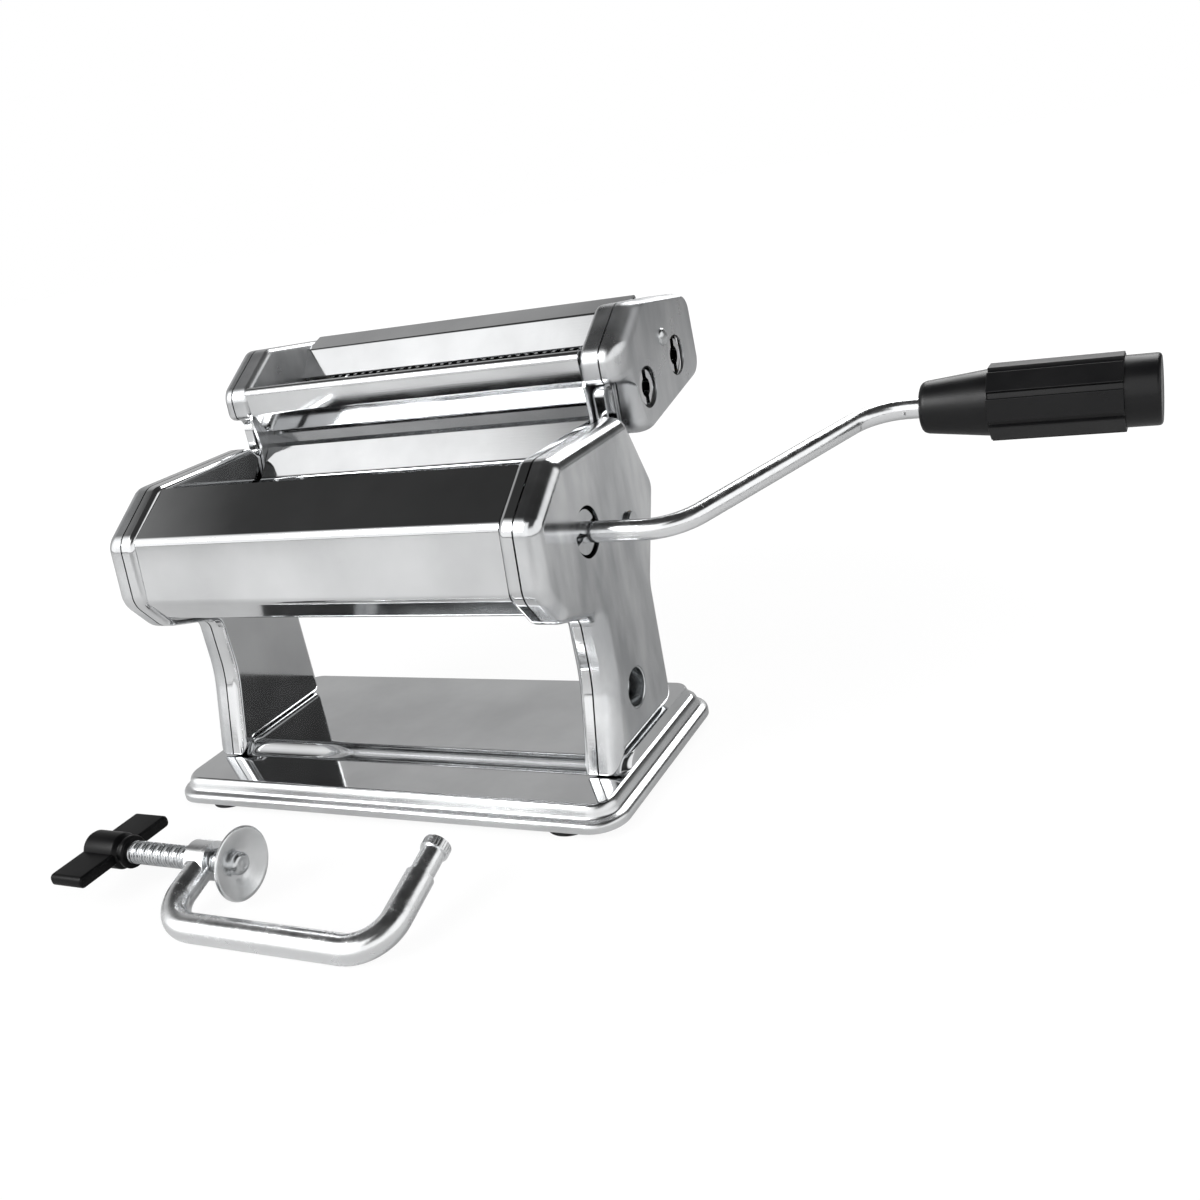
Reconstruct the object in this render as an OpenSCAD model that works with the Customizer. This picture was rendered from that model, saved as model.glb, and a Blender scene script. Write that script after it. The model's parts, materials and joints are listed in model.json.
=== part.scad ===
/* [Housing] */
// Clear width between the two side plates
inner_w = 152; // [130:1:200]
// Thickness of the side plate sheet
sheet_t = 1.2; // [0.8:0.1:1.6]
// Depth of the folded flange round a side plate
flange_d = 4.1; // [3:0.1:7]
// Depth of an end cover beyond the flange
cover_d = 8.5; // [8:0.1:14]
// Thickness of the cover sheet
cover_t = 1; // [0.6:0.1:1.4]
// Radius of a cover's rounded edge
cover_r = 5; // [2:0.5:6]
// Open seam between a flange and its cover
seam_gap = 0.2; // [0.1:0.1:0.5]
// Thickness of the guide and panel sheet
panel_t = 1; // [0.6:0.1:1.4]

/* [Head outline] */
// Height of the level top edge
top_z = 124; // [116:0.5:136]
// Front end of the top edge
top_front_y = -27.7; // [-34:0.1:-24]
// Rear end of the top edge
top_rear_y = 26.4; // [22:0.1:28]
// Foremost upper corner, across
nose_y = -48.3; // [-56:0.1:-45]
// Foremost upper corner, height
nose_z = 109.4; // [104:0.1:114]
// Foremost lower corner, across
chin_y = -50.3; // [-58:0.1:-46]
// Foremost lower corner, height
chin_z = 86.1; // [82:0.1:92]
// Lower front corner under the panel, across
jaw_y = -41; // [-46:0.1:-36]
// Lower front corner under the panel, height
jaw_z = 74; // [71:0.1:78]
// Rearmost corner, across
rear_nose_y = 41.5; // [40:0.1:48]
// Rearmost corner, height
rear_nose_z = 95.6; // [90:0.1:100]

/* [Legs] */
// Front edge of a leg at its narrowest
leg_front_y = -18.2; // [-24:0.1:-12]
// Rear edge of a leg
leg_rear_y = 26; // [22:0.1:34]
// Height at which a leg runs into the head at the rear
hip_z = 63; // [58:0.5:70]
// Height at which a leg runs into the head at the front
waist_z = 67; // [62:0.5:70]
// Height at which the front of a leg starts to flare
flare_z = 44; // [34:1:54]
// Front end of the flared toe
toe_y = -26.6; // [-32:0.1:-26]
// Clamp hole in the right leg, across
clamp_hole_y = -2.6; // [-6:0.1:8]
// Clamp hole in the right leg, height
clamp_hole_z = 34.4; // [28:0.1:48]
// Bore of the clamp socket
clamp_bore_d = 10.4; // [8:0.1:13]
// Outside of the clamp socket
clamp_socket_d = 15; // [14:0.1:18]

/* [Base] */
// Base shown beyond each end cover
base_margin = 6.6; // [5:0.1:10]
// Depth of the base plate
base_w = 98; // [90:0.5:130]
// Feet in from the edge of the base plate
foot_inset = 11; // [10:0.5:14]
// Corner radius of the base plate
base_r = 12; // [8:0.5:18]
// Height of the rim above the table
rim_z = 3; // [2:0.1:6]
// Top of the front ledge
ledge_z = 11.4; // [10.6:0.1:14]
// Rise of the deck above the ledge
deck_rise = 4.2; // [2:0.1:6]
// Front edge of the deck
deck_front_y = -17.8; // [-20:0.1:-14]
// Rear edge of the deck
deck_rear_y = 40; // [32:0.5:42]
// Thickness of the base sheet
base_t = 1.2; // [0.8:0.1:2]
// Diameter of a rubber foot
foot_d = 17; // [12:0.5:20]
// Diameter of a base screw
screw_d = 2.5; // [2:0.1:2.6]

/* [Rollers] */
// Axis of the front roller, across
front_y = -16.4; // [-18:0.1:-14]
// Axis of the front roller, height
front_z = 96.2; // [95:0.1:98]
// Axis of the thickness axle, across
axle_y = 14.9; // [13:0.1:16]
// Axis of the thickness axle, height
axle_z = 89.1; // [88:0.1:91]
// Offset of the eccentric on the thickness axle
eccentric = 1.35; // [1:0.05:1.6]
// Least gap between the rollers
least_gap = 0.5; // [0.2:0.1:1]
// Wall of a roller tube
roller_wall = 2.5; // [1.5:0.1:4]
// Length of the plug in the front roller
plug_l = 10; // [8:0.5:16]
// Length of the sleeves in the rear roller
sleeve_l = 14; // [12:0.5:20]
// Length of the drive shaft in the front roller
shaft_grip = 16; // [12:0.5:24]
// Teeth on each roller gear
gear_teeth = 12; // [11:1:13]
// Space between a roller's end and the side plate
end_gap = 0.6; // [0.3:0.1:1.5]
// Radius of the drive shaft
drive_r = 8; // [7:0.1:8.5]
// Radius of the crank hole in the right cover
crank_hole_r = 8.6; // [8.6:0.1:10]

/* [Thickness knob] */
// Diameter of the knob
knob_d = 36; // [30:1:44]
// Length of the knob
knob_l = 20; // [18:0.5:28]
// Steps on the dial
dial_steps = 7; // [5:1:9]
// Turn from the widest to the least gap
dial_turn = 150; // [120:1:160]
// Travel of the knob when it is pulled out
knob_pull = 4; // [3:0.5:5]

/* [Crank] */
// Diameter of the crank rod
rod_d = 7; // [6:0.1:7.4]
// Throw from the roller axis to the grip axis
throw = 80; // [60:1:82]
// Rise of the crank arm above level
arm_angle = 9.6; // [-30:0.1:60]
// Where the rod turns out to the arm
bend_out_x = 120; // [116:1:130]
// Angle by which the rod bends out and back
bend_angle = 60; // [45:15:75]
// Centre line radius of a bend
bend_r = 20; // [14:1:22]
// Start of the grip
grip_x = 182.5; // [180:0.5:200]
// Length of the tapered collar
collar_l = 22.5; // [18:0.5:28]
// Length of the ribbed barrel
barrel_l = 41; // [30:1:60]
// Length of the end cap
cap_l = 10.5; // [8:0.5:16]
// Diameter over the ribs
barrel_d = 25.6; // [24:0.1:30]
// Diameter of the collar where the rod enters
collar_d = 17.4; // [14:0.1:20]
// Diameter of the end cap
cap_d = 22.6; // [20:0.1:24]
// Ribs round the barrel
rib_count = 8; // [6:1:12]

/* [Cutter unit] */
// Axis of the front drive roller, across
cut_front_y = 48.7; // [48:0.1:50]
// Axis of the front drive roller above the head
cut_front_rise = 4.3; // [3:0.1:5]
// Spacing of the two drive rollers
cut_pitch = 30; // [29:0.1:30.5]
// Rise of the drive rollers to the rear
cut_rise = 10; // [8:0.5:12]
// Centre distance of a cutting pair
pair_d = 13; // [12.6:0.1:13.2]
// Width of a wide strip
wide_w = 6.5; // [5:0.5:9]
// Width of a narrow strip
narrow_w = 2; // [1.8:0.1:3]
// Depth by which the cutting discs interleave
bite = 1.2; // [0.8:0.1:1.4]
// Teeth on each cutter gear
cut_teeth = 12; // [10:1:14]
// Nose of the cutter housing, across
cut_nose_y = 28; // [27:0.1:29]
// Nose of the cutter housing above the head
cut_nose_rise = 21.3; // [20:0.1:23]
// Front end of the cutter's top edge behind its nose
cut_top_reach = 21; // [18:0.1:24]
// Front end of the cutter's top edge above the head
cut_top_rise = 34.8; // [33.5:0.1:37]
// Space between the last cutting roller and the rear end of the top edge
cut_back_gap = 1.8; // [1.2:0.1:4]
// Rear end of the cutter's top edge above the head
cut_back_rise = 29.8; // [29:0.1:33]
// Rear lower corner of the cutter behind the top edge's end
cut_tail_reach = 2.5; // [1:0.1:6]
// Rear lower corner of the cutter below the head's top
cut_tail_drop = 1.5; // [0:0.1:4]
// Front lower corner of the cutter below the head's top
cut_low_drop = 12.5; // [11:0.1:15]
// Foot of the divider behind the front mate roller
divider_back = 5; // [4:0.1:6]
// Space between the cutting discs and the divider
divider_gap = 2.5; // [1.5:0.1:4]
// Width of the divider's top
divider_top = 10.8; // [9:0.1:12]
// Depth of the front guard's foot
guard_foot = 8.5; // [7:0.1:9.5]
// Drop of the front guard's foot below the head's top
guard_drop = 1.6; // [0:0.1:2]
// Depth of the crank's bore in a cutting roller
mouth_l = 24; // [20:0.5:30]
// Radius of a drive hole in the cutter cover
cut_hole_r = 7.5; // [6.8:0.1:8]
// Radius of the cutter cover's rounded edge
cut_cover_r = 1.6; // [1.2:0.1:1.8]

/* [Tongues] */
// Front edge of the tongue that carries the cutter
tongue_y = 29.5; // [29:0.1:31]
// Width of that tongue
tongue_w = 9; // [7:0.1:9.5]
// Rise of that tongue above the head
tongue_rise = 9.9; // [7:0.1:10.5]

/* [Clamp] */
// Diameter of the clamp rod
clamp_d = 9.5; // [8:0.1:10]
// Left arm of the clamp
clamp_x0 = -33; // [-40:0.5:-28]
// Right arm of the clamp
clamp_x1 = 52; // [40:0.5:60]
// Long bar of the clamp, across
clamp_y = -121.5; // [-135:0.5:-118]
// Reach from the long bar to the screw
screw_reach = 26.3; // [24:0.1:34]
// Reach from the long bar to the tip
tip_reach = 41.6; // [38:0.1:55]
// Centre line radius of the clamp's bends
clamp_bend_r = 13; // [11:0.5:16]
// Diameter of the clamp screw
clamp_screw_d = 8; // [6:0.5:8]
// Metal around the screw's hole
eye_wall = 2.6; // [2:0.1:4]
// Diameter of the pressure pad
pad_d = 25; // [22:0.5:32]
// Pressed face of the pad
pad_x = -17; // [-20:0.5:-14]
// Inner end of the wing handle
wing_x = -70; // [-80:0.5:-68]
// Span of the wing handle
wing_span = 42; // [36:1:60]
// Width of the wing handle
wing_w = 15; // [12:0.5:18]
// Thickness of the wing handle
wing_t = 4.4; // [4:0.1:6]
// Radius of the wing handle's hub
wing_hub_r = 6.4; // [6:0.1:8]
// Collar of the wing handle
wing_collar = 4; // [2:0.5:6]
// Screw held in the wing handle
wing_grip = 9; // [6:0.5:12]

/* [Fits] */
// Space between parts that pass each other
run_gap = 0.3; // [0.2:0.05:0.4]
// Radial clearance of a shaft in its bush
fit_gap = 0.06; // [0.03:0.01:0.1]

/* [Hidden] */
$fn = 64;
steel = "#c9cccf";
zinc = "#a9adb0";
dark_steel = "#8a8e92";
black = "#1c1c1d";
rubber = "#222222";
brass = "#b99b52";

// Layers from the middle of the machine outwards
half = inner_w / 2;
web_x = half + sheet_t;
seam_x = web_x + flange_d;
outer_x = seam_x + seam_gap + cover_d;
inside_x = outer_x - cover_t;
base_l = 2 * (outer_x + base_margin);
gear_x = web_x + 3.6;
gear_w = inside_x - gear_x - 3;
roller_l = inner_w - 2 * end_gap;

// Heights of the stamped base
deck_z = ledge_z + deck_rise;
seat_gap = 0.05;
foot_z = deck_z + seat_gap;
riser_y = deck_front_y - 7.8;
mid_riser_y = (riser_y + deck_front_y) / 2;

// Roller axes, with the eccentric at its widest setting
front_axis = [front_y, front_z];
axle_axis = [axle_y, axle_z];
ecc_rest = 90 - dial_turn / 2;
line_dir = unit(axle_axis - front_axis);
line_angle = atan2(line_dir.y, line_dir.x);
rear_axis = axle_axis + eccentric * [cos(line_angle + ecc_rest), sin(line_angle + ecc_rest)];
closed_d = norm(axle_axis - front_axis) - eccentric * cos(ecc_rest);
open_d = norm(rear_axis - front_axis);
roller_r = (closed_d - least_gap) / 2;
gear_tip_r = (open_d + 1.2) / 2;
gear_root_r = closed_d - gear_tip_r - 0.35;
mesh_angle = atan2(rear_axis.y - front_axis.y, rear_axis.x - front_axis.x);
mesh_bias = 1.8;
journal_r = 6;
ecc_r = 5;
stub_r = 3.5;
float_r = 7.5;
hub_r = 9.5;
hub_hole_r = hub_r + 2 * eccentric + 0.8;
slot_w = 3;
slot_d = 5;
crank_in_x = 64;
pin_x = inside_x - 3;
pin_r_crank = 1.21;

// Knob layers on the left end, measured outwards
plate_d = 1.2;
dial_r = 13;
knob_x = outer_x + plate_d + 1;
spring_seat = knob_x + 7;
washer_x = spring_seat + 7;
knob_end = knob_x + knob_l;

// Grip stations
barrel_x = grip_x + collar_l;
cap_x = barrel_x + barrel_l;
grip_end = cap_x + cap_l;
rod_end_x = cap_x + 2.5;
grip_axis = front_axis + throw * [cos(arm_angle), sin(arm_angle)];

// Cutter unit axes and layers
cut_inner = half - run_gap - sheet_t;
cut_web = half - run_gap;
cut_seam = cut_web + 6.3;
cut_outer = outer_x;
cut_inside = cut_outer - cover_t;
wide_drive = [cut_front_y, top_z + cut_front_rise];
narrow_drive = wide_drive + cut_pitch * [cos(cut_rise), sin(cut_rise)];
wide_angle = 20;
narrow_angle = 29;
wide_mate = wide_drive + pair_d * [cos(wide_angle), sin(wide_angle)];
narrow_mate = narrow_drive + pair_d * [cos(narrow_angle), sin(narrow_angle)];
disc_r = (pair_d + bite) / 2;
groove_r = pair_d - disc_r - run_gap;
cut_face = cut_inner - 2.5;
pin_r = 3.5;
hollow_r = 6.2;
cut_gear_w = 6;
cut_gear_x = cut_web + 2.4;
cut_gear_end = cut_gear_x + cut_gear_w;
tongue_z = top_z + tongue_rise;
cut_nose_z = top_z + cut_nose_rise;
cut_top_y = cut_nose_y + cut_top_reach;
cut_top_z = top_z + cut_top_rise;
cut_back_y = narrow_mate.x + disc_r + cut_back_gap;
cut_back_z = top_z + cut_back_rise;
cut_tail_y = cut_back_y + cut_tail_reach;
cut_tail_z = top_z - cut_tail_drop;
cut_low_z = top_z - cut_low_drop;
notch_y = tongue_y + tongue_w + run_gap;
notch_z = tongue_z + run_gap;

// Clamp plane, tilted so that bar and pad both lie on the table
pad_z = pad_d / 2 + 0.1;
clamp_tilt = asin((pad_z - clamp_d / 2) / screw_reach);
screw_r = clamp_screw_d / 2;
spigot_r = 1.8;

// Fixings of the cutter unit
cut_rivet = narrow_drive + [-10.2, 8.8];
cut_tie_points = [
    [cut_nose_y + 7.5, notch_z + 4],
    [cut_back_y - 5, cut_back_z - 4.8],
    narrow_drive - [8.6, 12.3]
];
cut_tie_r = 2;

// Outlines in the side view, as [across, height, corner radius]
function slant_z(y) = rear_nose_z + (y - rear_nose_y) * (top_z - rear_nose_z) / (top_rear_y - rear_nose_y);
function flare_y(z) = leg_front_y + (toe_y - leg_front_y) * (flare_z - z) / (flare_z - ledge_z);
head_front = [
    [top_rear_y, top_z, 6], [top_front_y, top_z, 7], [nose_y, nose_z, 8],
    [chin_y, chin_z, 9], [jaw_y, jaw_z, 8], [leg_front_y, waist_z, 5], [leg_front_y, flare_z, 50]
];
plate_outline = concat(
    [[toe_y, foot_z - deck_rise, 0.6], [deck_front_y, foot_z, 1], [leg_rear_y, foot_z, 3]],
    [[leg_rear_y, hip_z, 12], [rear_nose_y, rear_nose_z, 7]],
    [[tongue_y + tongue_w, slant_z(tongue_y + tongue_w), 1], [tongue_y + tongue_w, tongue_z, 4]],
    [[tongue_y, tongue_z, 4], [tongue_y, slant_z(tongue_y), 1]],
    head_front
);
cover_outline = concat(
    [[flare_y(foot_z), foot_z, 1], [leg_rear_y, foot_z, 6]],
    [[leg_rear_y, hip_z, 12], [rear_nose_y, rear_nose_z, 8]],
    head_front
);
cut_upper = [
    [cut_tail_y, cut_tail_z, 8], [cut_back_y, cut_back_z, 8], [cut_top_y, cut_top_z, 7],
    [cut_nose_y, cut_nose_z, 7]
];
cut_outline = concat(
    [[notch_y, cut_low_z, 7]], cut_upper,
    [[cut_nose_y, notch_z, 2], [notch_y, notch_z, 1]]
);
cut_foot_z = 106;
cut_web_outline = concat(
    [[tongue_y - 3, cut_foot_z, 1], [tongue_y + tongue_w - 1, cut_foot_z, 2], [notch_y, cut_low_z, 2]],
    cut_upper,
    [[cut_nose_y, notch_z, 4], [tongue_y, top_z, 6]]
);

function unit(v) = v / norm(v);
function pick(p, i) = p[(i + len(p)) % len(p)];
function flat(q) = [q[0], q[1]];

// Rounded outline: each corner becomes an arc of its own radius
function arc_corner(a, b, c, r, n) =
    let (u = unit(a - b), v = unit(c - b))
    let (half_turn = acos(max(-1, min(1, u * v))) / 2)
    let (o = b + unit(u + v) * r / sin(half_turn))
    let (s = b + u * r / tan(half_turn) - o, e = b + v * r / tan(half_turn) - o)
    let (from = atan2(s.y, s.x), sweep = atan2(s.x * e.y - s.y * e.x, s * e))
    [for (k = [0:n]) o + r * [cos(from + sweep * k / n), sin(from + sweep * k / n)]];
function rounded(p, n = 5) = [
    for (i = [0:len(p) - 1])
        each arc_corner(flat(pick(p, i - 1)), flat(p[i]), flat(pick(p, i + 1)), p[i][2], n)
];

// The same outline moved inwards, with its corner radii following
function inset_corner(a, b, c, r, d) =
    let (u = unit(b - a), v = unit(c - b))
    let (m = [-u.y, u.x], n = [-v.y, v.x], q = b + (m + n) * d / (1 + m * n))
    [q.x, q.y, max(0.3, u.x * v.y - u.y * v.x > 0 ? r - d : r + d)];
function inset(p, d) = [
    for (i = [0:len(p) - 1])
        inset_corner(flat(pick(p, i - 1)), flat(p[i]), flat(pick(p, i + 1)), p[i][2], d)
];
function section(p, d, x) = [for (q = rounded(inset(p, d))) [x, q.x, q.y]];

// A solid through closed sections of equal count
module loft(rings) {
    m = len(rings[0]);
    points = [for (r = rings) each r];
    last = (len(rings) - 1) * m;
    sides = [
        for (i = [0:len(rings) - 2], j = [0:m - 1])
            [i * m + j, (i + 1) * m + j, (i + 1) * m + (j + 1) % m, i * m + (j + 1) % m]
    ];
    ends = [[for (j = [0:m - 1]) j], [for (j = [m - 1:-1:0]) last + j]];
    polyhedron(points, concat(sides, ends), convexity = 8);
}

// A drawn cover that opens inwards, with a rounded outer edge
module shell(p, x, depth, t, r) {
    steps = 5;
    turn = [for (k = [0:steps]) 90 * k / steps];
    loft(concat(
        [for (a = turn) section(p, r - (r - t) * sin(a), x + depth - r + (r - t) * cos(a))],
        [section(p, t, x), section(p, 0, x)],
        [for (k = [steps:-1:0]) section(p, r * (1 - sin(turn[k])), x + depth - r * (1 - cos(turn[k])))]
    ));
}

// A side view profile drawn out along the machine
module along_x(x0, x1) {
    translate([x0, 0, 0]) rotate([90, 0, 90]) linear_extrude(x1 - x0) children();
}

// A round bar along the machine at a side view point
module bar(q, x0, x1, r) {
    translate([x0, q.x, q.y]) rotate([0, 90, 0]) cylinder(h = x1 - x0, r = r);
}

module tube(q, x0, x1, r, bore) {
    difference() {
        bar(q, x0, x1, r);
        bar(q, x0 - 1, x1 + 1, bore);
    }
}

// A bent sheet: the open line of its side view, given a thickness
function sheet_side(a, b, c, d) =
    let (u = unit(b - a), v = unit(c - b), m = [-u.y, u.x], n = [-v.y, v.x])
    b + (m + n) * d / (1 + m * n);
function line_side(p, d) = [
    for (i = [0:len(p) - 1])
        let (a = i > 0 ? p[i - 1] : 2 * p[0] - p[1], c = i < len(p) - 1 ? p[i + 1] : 2 * p[i] - p[i - 1])
        sheet_side(a, p[i], c, d)
];
function reverse(p) = [for (i = [len(p) - 1:-1:0]) p[i]];
function soft_line(p, r, n = 4) = concat(
    [p[0]],
    [for (i = [1:len(p) - 2]) each arc_corner(p[i - 1], p[i], p[i + 1], r, n)],
    [p[len(p) - 1]]
);
module sheet(p, t) {
    polygon(concat(line_side(p, 0), reverse(line_side(p, t))));
}

// A spur gear with long straight-sided teeth, flat in the side view
module gear_face(n, tip_r, root_r, tip_w, root_w, phase) {
    polygon([
        for (i = [0:n - 1], s = [[root_r, -root_w], [tip_r, -tip_w], [tip_r, tip_w], [root_r, root_w]])
            let (a = phase + 360 * i / n + s[1] / s[0] * 90 / PI)
            s[0] * [cos(a), sin(a)]
    ]);
}

module gear(q, x0, w, bore, n, tip_r, root_r, tip_w, root_w, phase) {
    difference() {
        along_x(x0, x0 + w) translate(q) gear_face(n, tip_r, root_r, tip_w, root_w, phase);
        bar(q, x0 - 1, x0 + w + 1, bore);
    }
}

// A bent round rod along X: each step is a straight run and the bend after it
bend_lap = 0.3;
bend_slim = 0.02;
module bent_rod(steps, bend, r, i = 0) {
    run = steps[i][0];
    turn = steps[i][1];
    before = i > 0 ? bend_lap : 0;
    after = i < len(steps) - 1 ? bend_lap : 0;
    translate([-before, 0, 0]) rotate([0, 90, 0]) cylinder(h = run + before + after, r = r);
    if (i < len(steps) - 1) translate([run, 0, 0]) rotate([turn < 0 ? 180 : 0, 0, 0]) {
        translate([0, bend, 0]) rotate([0, 0, -90])
            rotate_extrude(angle = abs(turn)) translate([bend, 0]) circle(r = r - bend_slim);
        translate([0, bend, 0]) rotate([0, 0, abs(turn)]) translate([0, -bend, 0])
            bent_rod(steps, bend, r, i + 1);
    }
}

// The stamped base as rounded rectangles, one above the other
function base_ring(d, front, rear, r, z) =
    let (x = base_l / 2 - d)
    [for (q = rounded([[-x, front, r], [x, front, r], [x, rear, r], [-x, rear, r]])) [q.x, q.y, z]];
function even_ring(d, z) = base_ring(d, d - base_w / 2, base_w / 2 - d, base_r - d, z);
function base_skin(t) = [
    even_ring(t, rim_z),
    even_ring(t, rim_z + 1.8 - t / 2),
    even_ring(t + 0.6, rim_z + 2.9 - t),
    even_ring(t + 1.8, rim_z + 3.4 - t),
    even_ring(t + 3.2, rim_z + 3.6 - t),
    even_ring(t + 3.8, rim_z + 4.6 - t),
    even_ring(t + 4.2, ledge_z - 1.2 - t),
    even_ring(t + 4.7, ledge_z - 0.4 - t),
    even_ring(t + 5.6, ledge_z - t),
    base_ring(t + 5.7, riser_y + t, deck_rear_y + 3 - t, base_r - 6, ledge_z - t),
    base_ring(t + 5.9, mid_riser_y + t, deck_rear_y + 1.6 - t, base_r - 6, ledge_z + deck_rise / 2 - t),
    base_ring(t + 6.2, deck_front_y + t, deck_rear_y - t, base_r - 6, deck_z - t)
];

// Where fasteners and feet sit
screw_x = (web_x + seam_x) / 2 + 0.45;
screw_ys = [deck_front_y + 8, leg_rear_y - 8];
foot_x = base_l / 2 - 2 * foot_inset;
feet = [for (x = [-foot_x, foot_x], y = [foot_inset - base_w / 2, deck_rear_y - foot_inset / 2]) [x, y]];
foot_stem_r = 3.5;
function foot_top(y) = y < 0 ? ledge_z - base_t : deck_z - base_t;
tie_points = [
    [nose_y + 8.5, (nose_z + chin_z) / 2],
    [jaw_y + 6.8, jaw_z + 5.6],
    [rear_nose_y - 7.9, rear_nose_z + 3.5]
];
tie_r = 2.5;
post_points = [[top_front_y - 1, top_z - 11], [top_rear_y - 4, top_z - 14], [leg_rear_y - 10, hip_z - 10]];
post_r = 3;

module both_ends() {
    children();
    mirror([1, 0, 0]) children();
}

module base_plate() {
    color(steel) difference() {
        loft(concat(reverse(base_skin(base_t)), base_skin(0)));
        for (x = [-screw_x, screw_x], y = screw_ys)
            translate([x, y, ledge_z - 2]) cylinder(h = deck_rise + 4, d = screw_d + 0.4);
    }
}

module base_feet() {
    color(rubber) for (f = feet) translate([f.x, f.y, 0]) {
        cylinder(h = rim_z - 0.2, d = foot_d);
        cylinder(h = foot_top(f.y), r = foot_stem_r);
    }
}

module base_screws() {
    color(zinc) for (x = [-screw_x, screw_x], y = screw_ys) translate([x, y, 0]) {
        translate([0, 0, deck_z - base_t - 2.2]) cylinder(h = 2.2, d = 2 * screw_d - 1);
        translate([0, 0, deck_z - base_t - 0.5]) cylinder(h = base_t + sheet_t + 3, d = screw_d - 0.02);
    }
}

module base_nuts() {
    color(zinc) for (x = [-screw_x, screw_x], y = screw_ys)
        translate([x, y, deck_z + sheet_t + 2 * seat_gap]) difference() {
            cylinder(h = screw_d, d = screw_d + 0.6);
            translate([0, 0, -1]) cylinder(h = screw_d + 2, d = screw_d);
        }
}

module side_plate() {
    difference() {
        union() {
            along_x(half, web_x) polygon(rounded(plate_outline));
            along_x(web_x, seam_x) difference() {
                polygon(rounded(plate_outline));
                polygon(rounded(inset(plate_outline, sheet_t)));
            }
        }
        for (q = tie_points) bar(q, half - 1, web_x + 1, tie_r + 0.02);
        for (y = screw_ys)
            translate([screw_x, y, deck_z - 1]) cylinder(h = sheet_t + 2, d = screw_d + 0.2);
        children();
    }
}

module right_side_plate() {
    color(steel) side_plate() {
        bar(front_axis, half - 1, web_x + 1, drive_r + 3);
        bar(rear_axis, half - 1, web_x + 1, hub_hole_r);
        bar([clamp_hole_y, clamp_hole_z], half - 1, web_x + 1, clamp_bore_d / 2);
    }
}

module left_side_plate() {
    color(steel) mirror([1, 0, 0]) side_plate() {
        bar(front_axis, half - 1, web_x + 1, journal_r + 3);
        bar(axle_axis, half - 1, web_x + 1, journal_r + 3);
    }
}

module end_cover() {
    difference() {
        shell(cover_outline, seam_x + seam_gap, cover_d, cover_t, cover_r);
        children();
    }
}

module right_cover() {
    color(steel) end_cover() {
        bar(front_axis, inside_x - 1, outer_x + 1, crank_hole_r);
        bar(axle_axis, inside_x - 1, outer_x + 1, stub_r + 0.3);
        bar([clamp_hole_y, clamp_hole_z], inside_x - 1, outer_x + 1, clamp_socket_d / 2);
    }
}

module left_cover() {
    color(steel) mirror([1, 0, 0]) end_cover()
        bar(axle_axis, inside_x - 1, outer_x + 1, journal_r + 0.5);
}

module cover_posts() {
    color(zinc) both_ends() for (q = post_points) bar(q, web_x, inside_x, post_r);
}

module clamp_socket() {
    color(dark_steel)
        tube([clamp_hole_y, clamp_hole_z], web_x, outer_x, clamp_socket_d / 2 - 0.02, clamp_bore_d / 2);
}

module tie_rods() {
    color(zinc) for (q = tie_points) bar(q, -web_x - 3, web_x + 3, tie_r);
}

module tie_rod_nuts() {
    color(zinc) both_ends() for (q = tie_points) difference() {
        translate([web_x, q.x, q.y]) rotate([0, 90, 0]) cylinder(h = 2.6, r = 1.45 * tie_r, $fn = 6);
        bar(q, web_x - 1, web_x + 4, tie_r + 0.05);
    }
}

// Front panel: top slope, nose, lower face and the fold under it
module front_panel() {
    line = [
        [top_front_y + 1, top_z - 1.2], [nose_y + 1.6, nose_z - 0.2], [chin_y + 1.4, chin_z],
        [jaw_y - 1.4, jaw_z + 4], [jaw_y + 4, jaw_z + 1.6]
    ];
    color(steel) along_x(-half, half) sheet(soft_line(line, 4), panel_t);
}

// Rear panel: feed chute inside the hopper and the wall behind it
module rear_panel() {
    crest = [top_rear_y + 6, top_z - 4.5];
    wall = [rear_nose_y - 3.4, slant_z(rear_nose_y - 3.4) - 2.6];
    back = [rear_nose_y - 2, rear_nose_z - 0.5];
    lip = rear_axis + (roller_r + 4.2) * [cos(114), sin(114)];
    chute = soft_line([lip, lip + [10.5, 1.6], crest - [8.2, 9.2], crest], 5);
    color(steel) {
        along_x(-cut_inner + run_gap, cut_inner - run_gap) sheet(concat(chute, [wall]), panel_t);
        along_x(-half, half) sheet([wall, back, [leg_rear_y + 6, hip_z + 14]], panel_t);
    }
}

// Scraper blades under the rollers, each held between the side plates
function scraper(c, r, angle, out, width) =
    let (tip = c + r * [cos(angle), sin(angle)], dir = unit(out))
    [tip, tip + width * dir];
module front_scraper() {
    color(dark_steel) along_x(-half, half)
        sheet(scraper(front_axis, roller_r + run_gap, -112, [-1, -0.28], 8), 0.8);
}

module rear_scraper() {
    color(dark_steel) along_x(-half, half)
        sheet(scraper(rear_axis, roller_r + run_gap + eccentric, -68, [1, 0.1], 9), 0.8);
}

module roller_bushes() {
    color(brass) {
        tube(front_axis, half - 0.4, web_x + 1.4, drive_r + 2.98, drive_r + fit_gap);
        mirror([1, 0, 0]) tube(front_axis, half - 0.4, web_x + 2.4, journal_r + 2.98, journal_r + fit_gap);
    }
}

module axle_bushes() {
    color(brass) {
        mirror([1, 0, 0]) tube(axle_axis, half - 0.2, web_x + 3, journal_r + 2.98, journal_r + fit_gap);
        tube(axle_axis, inside_x - 2.2, inside_x, stub_r + 3.5, stub_r + fit_gap);
    }
}

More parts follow.
